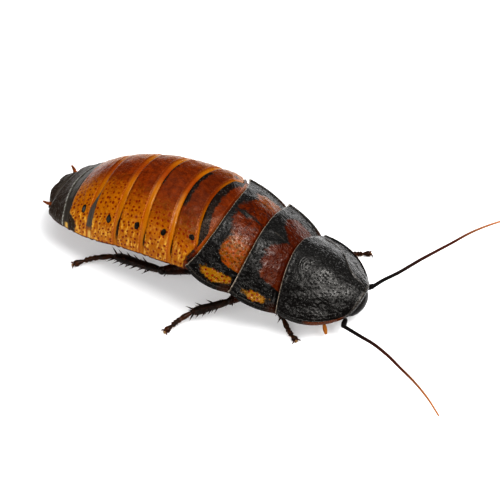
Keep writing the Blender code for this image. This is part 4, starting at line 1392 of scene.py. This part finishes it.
def build_foot(tag, ankle, middle, toe, radius, trim):
    """Foot of five joints with pale pads below, an end pad and two claws."""
    path = (ankle, middle, toe)
    places = [0.0]
    for begin, end in FOOT_JOINTS:
        places += [begin + 0.3 * (end - begin), begin + 0.9 * (end - begin), end]
    places += [0.82, 0.94, 1.0]
    radii = [0.8] + [0.98, 1.08, 0.9] * len(FOOT_JOINTS) + [0.95, 1.4, 1.1]
    points = tube(path, places, np.array(radii) * radius, 20, 0.95, 90, (trim, 0.0), 0.0)
    foot = Piece(f"tarsus_{tag}_joints", "foot", "foot", "pad", "hair")
    foot.add_tube(points)
    add_hairs(foot, points, 2, *HAIRS["tarsus"])
    for share in FOOT_PADS:
        here, ahead = along(path, [share])
        centre = here[0] - np.array((0.0, 0.0, 0.72 * radius))
        centre[2] = max(centre[2], 0.16)
        pad = [centre - 0.3 * ahead[0], centre, centre + 0.3 * ahead[0]]
        foot.add_tube(tube(pad, (0.0, 0.5, 1.0), (0.26, 0.34, 0.26), 14, 0.5, 14, floor=0.0), 1)
    heading = unit(toe - middle)
    pad = [(toe + reach * heading) * (1, 1, 0) + (0, 0, 0.3) for reach in (-0.1, 0.2, 0.42)]
    foot.add_tube(tube(pad, (0.0, 0.6, 1.0), (0.2, 0.34, 0.28), 16, 0.75, 18, floor=0.0), 1)
    foot.build(f"tarsus_{tag}")
    claws = Piece(f"claws_{tag}_pair", "foot", "claw")
    side = frame_of(heading)[0]
    for sign in (-1.0, 1.0):
        path = [(toe + ahead * heading + sign * aside * side) * (1, 1, 0) + (0, 0, height)
                for ahead, aside, height in CLAW_PATH]
        claws.add_tube(tube(path, (0.0, 0.4, 0.8, 1.0), (0.16, 0.14, 0.08, 0.03), 10, 1.0, 22))
    claws.build()


# Studio

def build_studio():
    """White floor, the four lights, the light of the air, and the camera."""
    floor = bpy.data.meshes.new("studio_floor")
    steps = np.linspace(-FLOOR_REACH, FLOOR_REACH, FLOOR_POINTS)
    points = [(x, y, 0.0) for x in steps for y in steps]
    floor.from_pydata(points, [], grid_faces(FLOOR_POINTS, FLOOR_POINTS))
    floor.materials.append(floor_look())
    stage = add_object("studio_floor", floor)
    for name, (place, size, power, shadow) in LIGHTS.items():
        light = bpy.data.lights.new(name, "AREA")
        light.size = size
        light.energy = power
        light.use_shadow = shadow
        lamp = add_object(name, light)
        lamp.location = place
        lamp.rotation_euler = (Vector(LIGHT_TARGET) - Vector(place)).to_track_quat("-Z", "Y").to_euler()
    world = bpy.data.worlds.new("studio_air")
    world.use_nodes = True
    air = world.node_tree.nodes["Background"].inputs
    air["Color"].default_value = WHITE
    air["Strength"].default_value = AIR_LIGHT
    bpy.context.scene.world = world
    bpy.context.scene.view_settings.view_transform = "Standard"
    bpy.context.scene.view_settings.look = "High Contrast"
    build_camera()


def build_camera():
    """Camera at the photograph's place, angle and framing."""
    turn, rise, roll = np.radians([CAMERA_TURN, CAMERA_RISE, CAMERA_ROLL])
    back = np.array([np.sin(turn) * np.cos(rise), -np.cos(turn) * np.cos(rise), np.sin(rise)])
    level = np.array([np.cos(turn), np.sin(turn), 0.0])
    upright = np.cross(back, level)
    matrix = np.eye(4)
    matrix[:3, 0] = level * np.cos(roll) + upright * np.sin(roll)
    matrix[:3, 1] = upright * np.cos(roll) - level * np.sin(roll)
    matrix[:3, 2] = back
    matrix[:3, 3] = (np.array(CAMERA_PLACE) + SHIFT) * MM
    data = bpy.data.cameras.new("camera")
    data.sensor_fit = "HORIZONTAL"
    data.sensor_width = SENSOR
    data.lens = FOCAL_PIXELS / PICTURE_PIXELS * SENSOR
    data.clip_start = 0.01
    camera = add_object("camera", data)
    camera.matrix_world = Matrix(matrix.tolist())
    bpy.context.scene.camera = camera


build_studio()
build_shields()
build_tergites()
build_underside()
build_head()
build_feelers()
build_cerci()
build_legs()
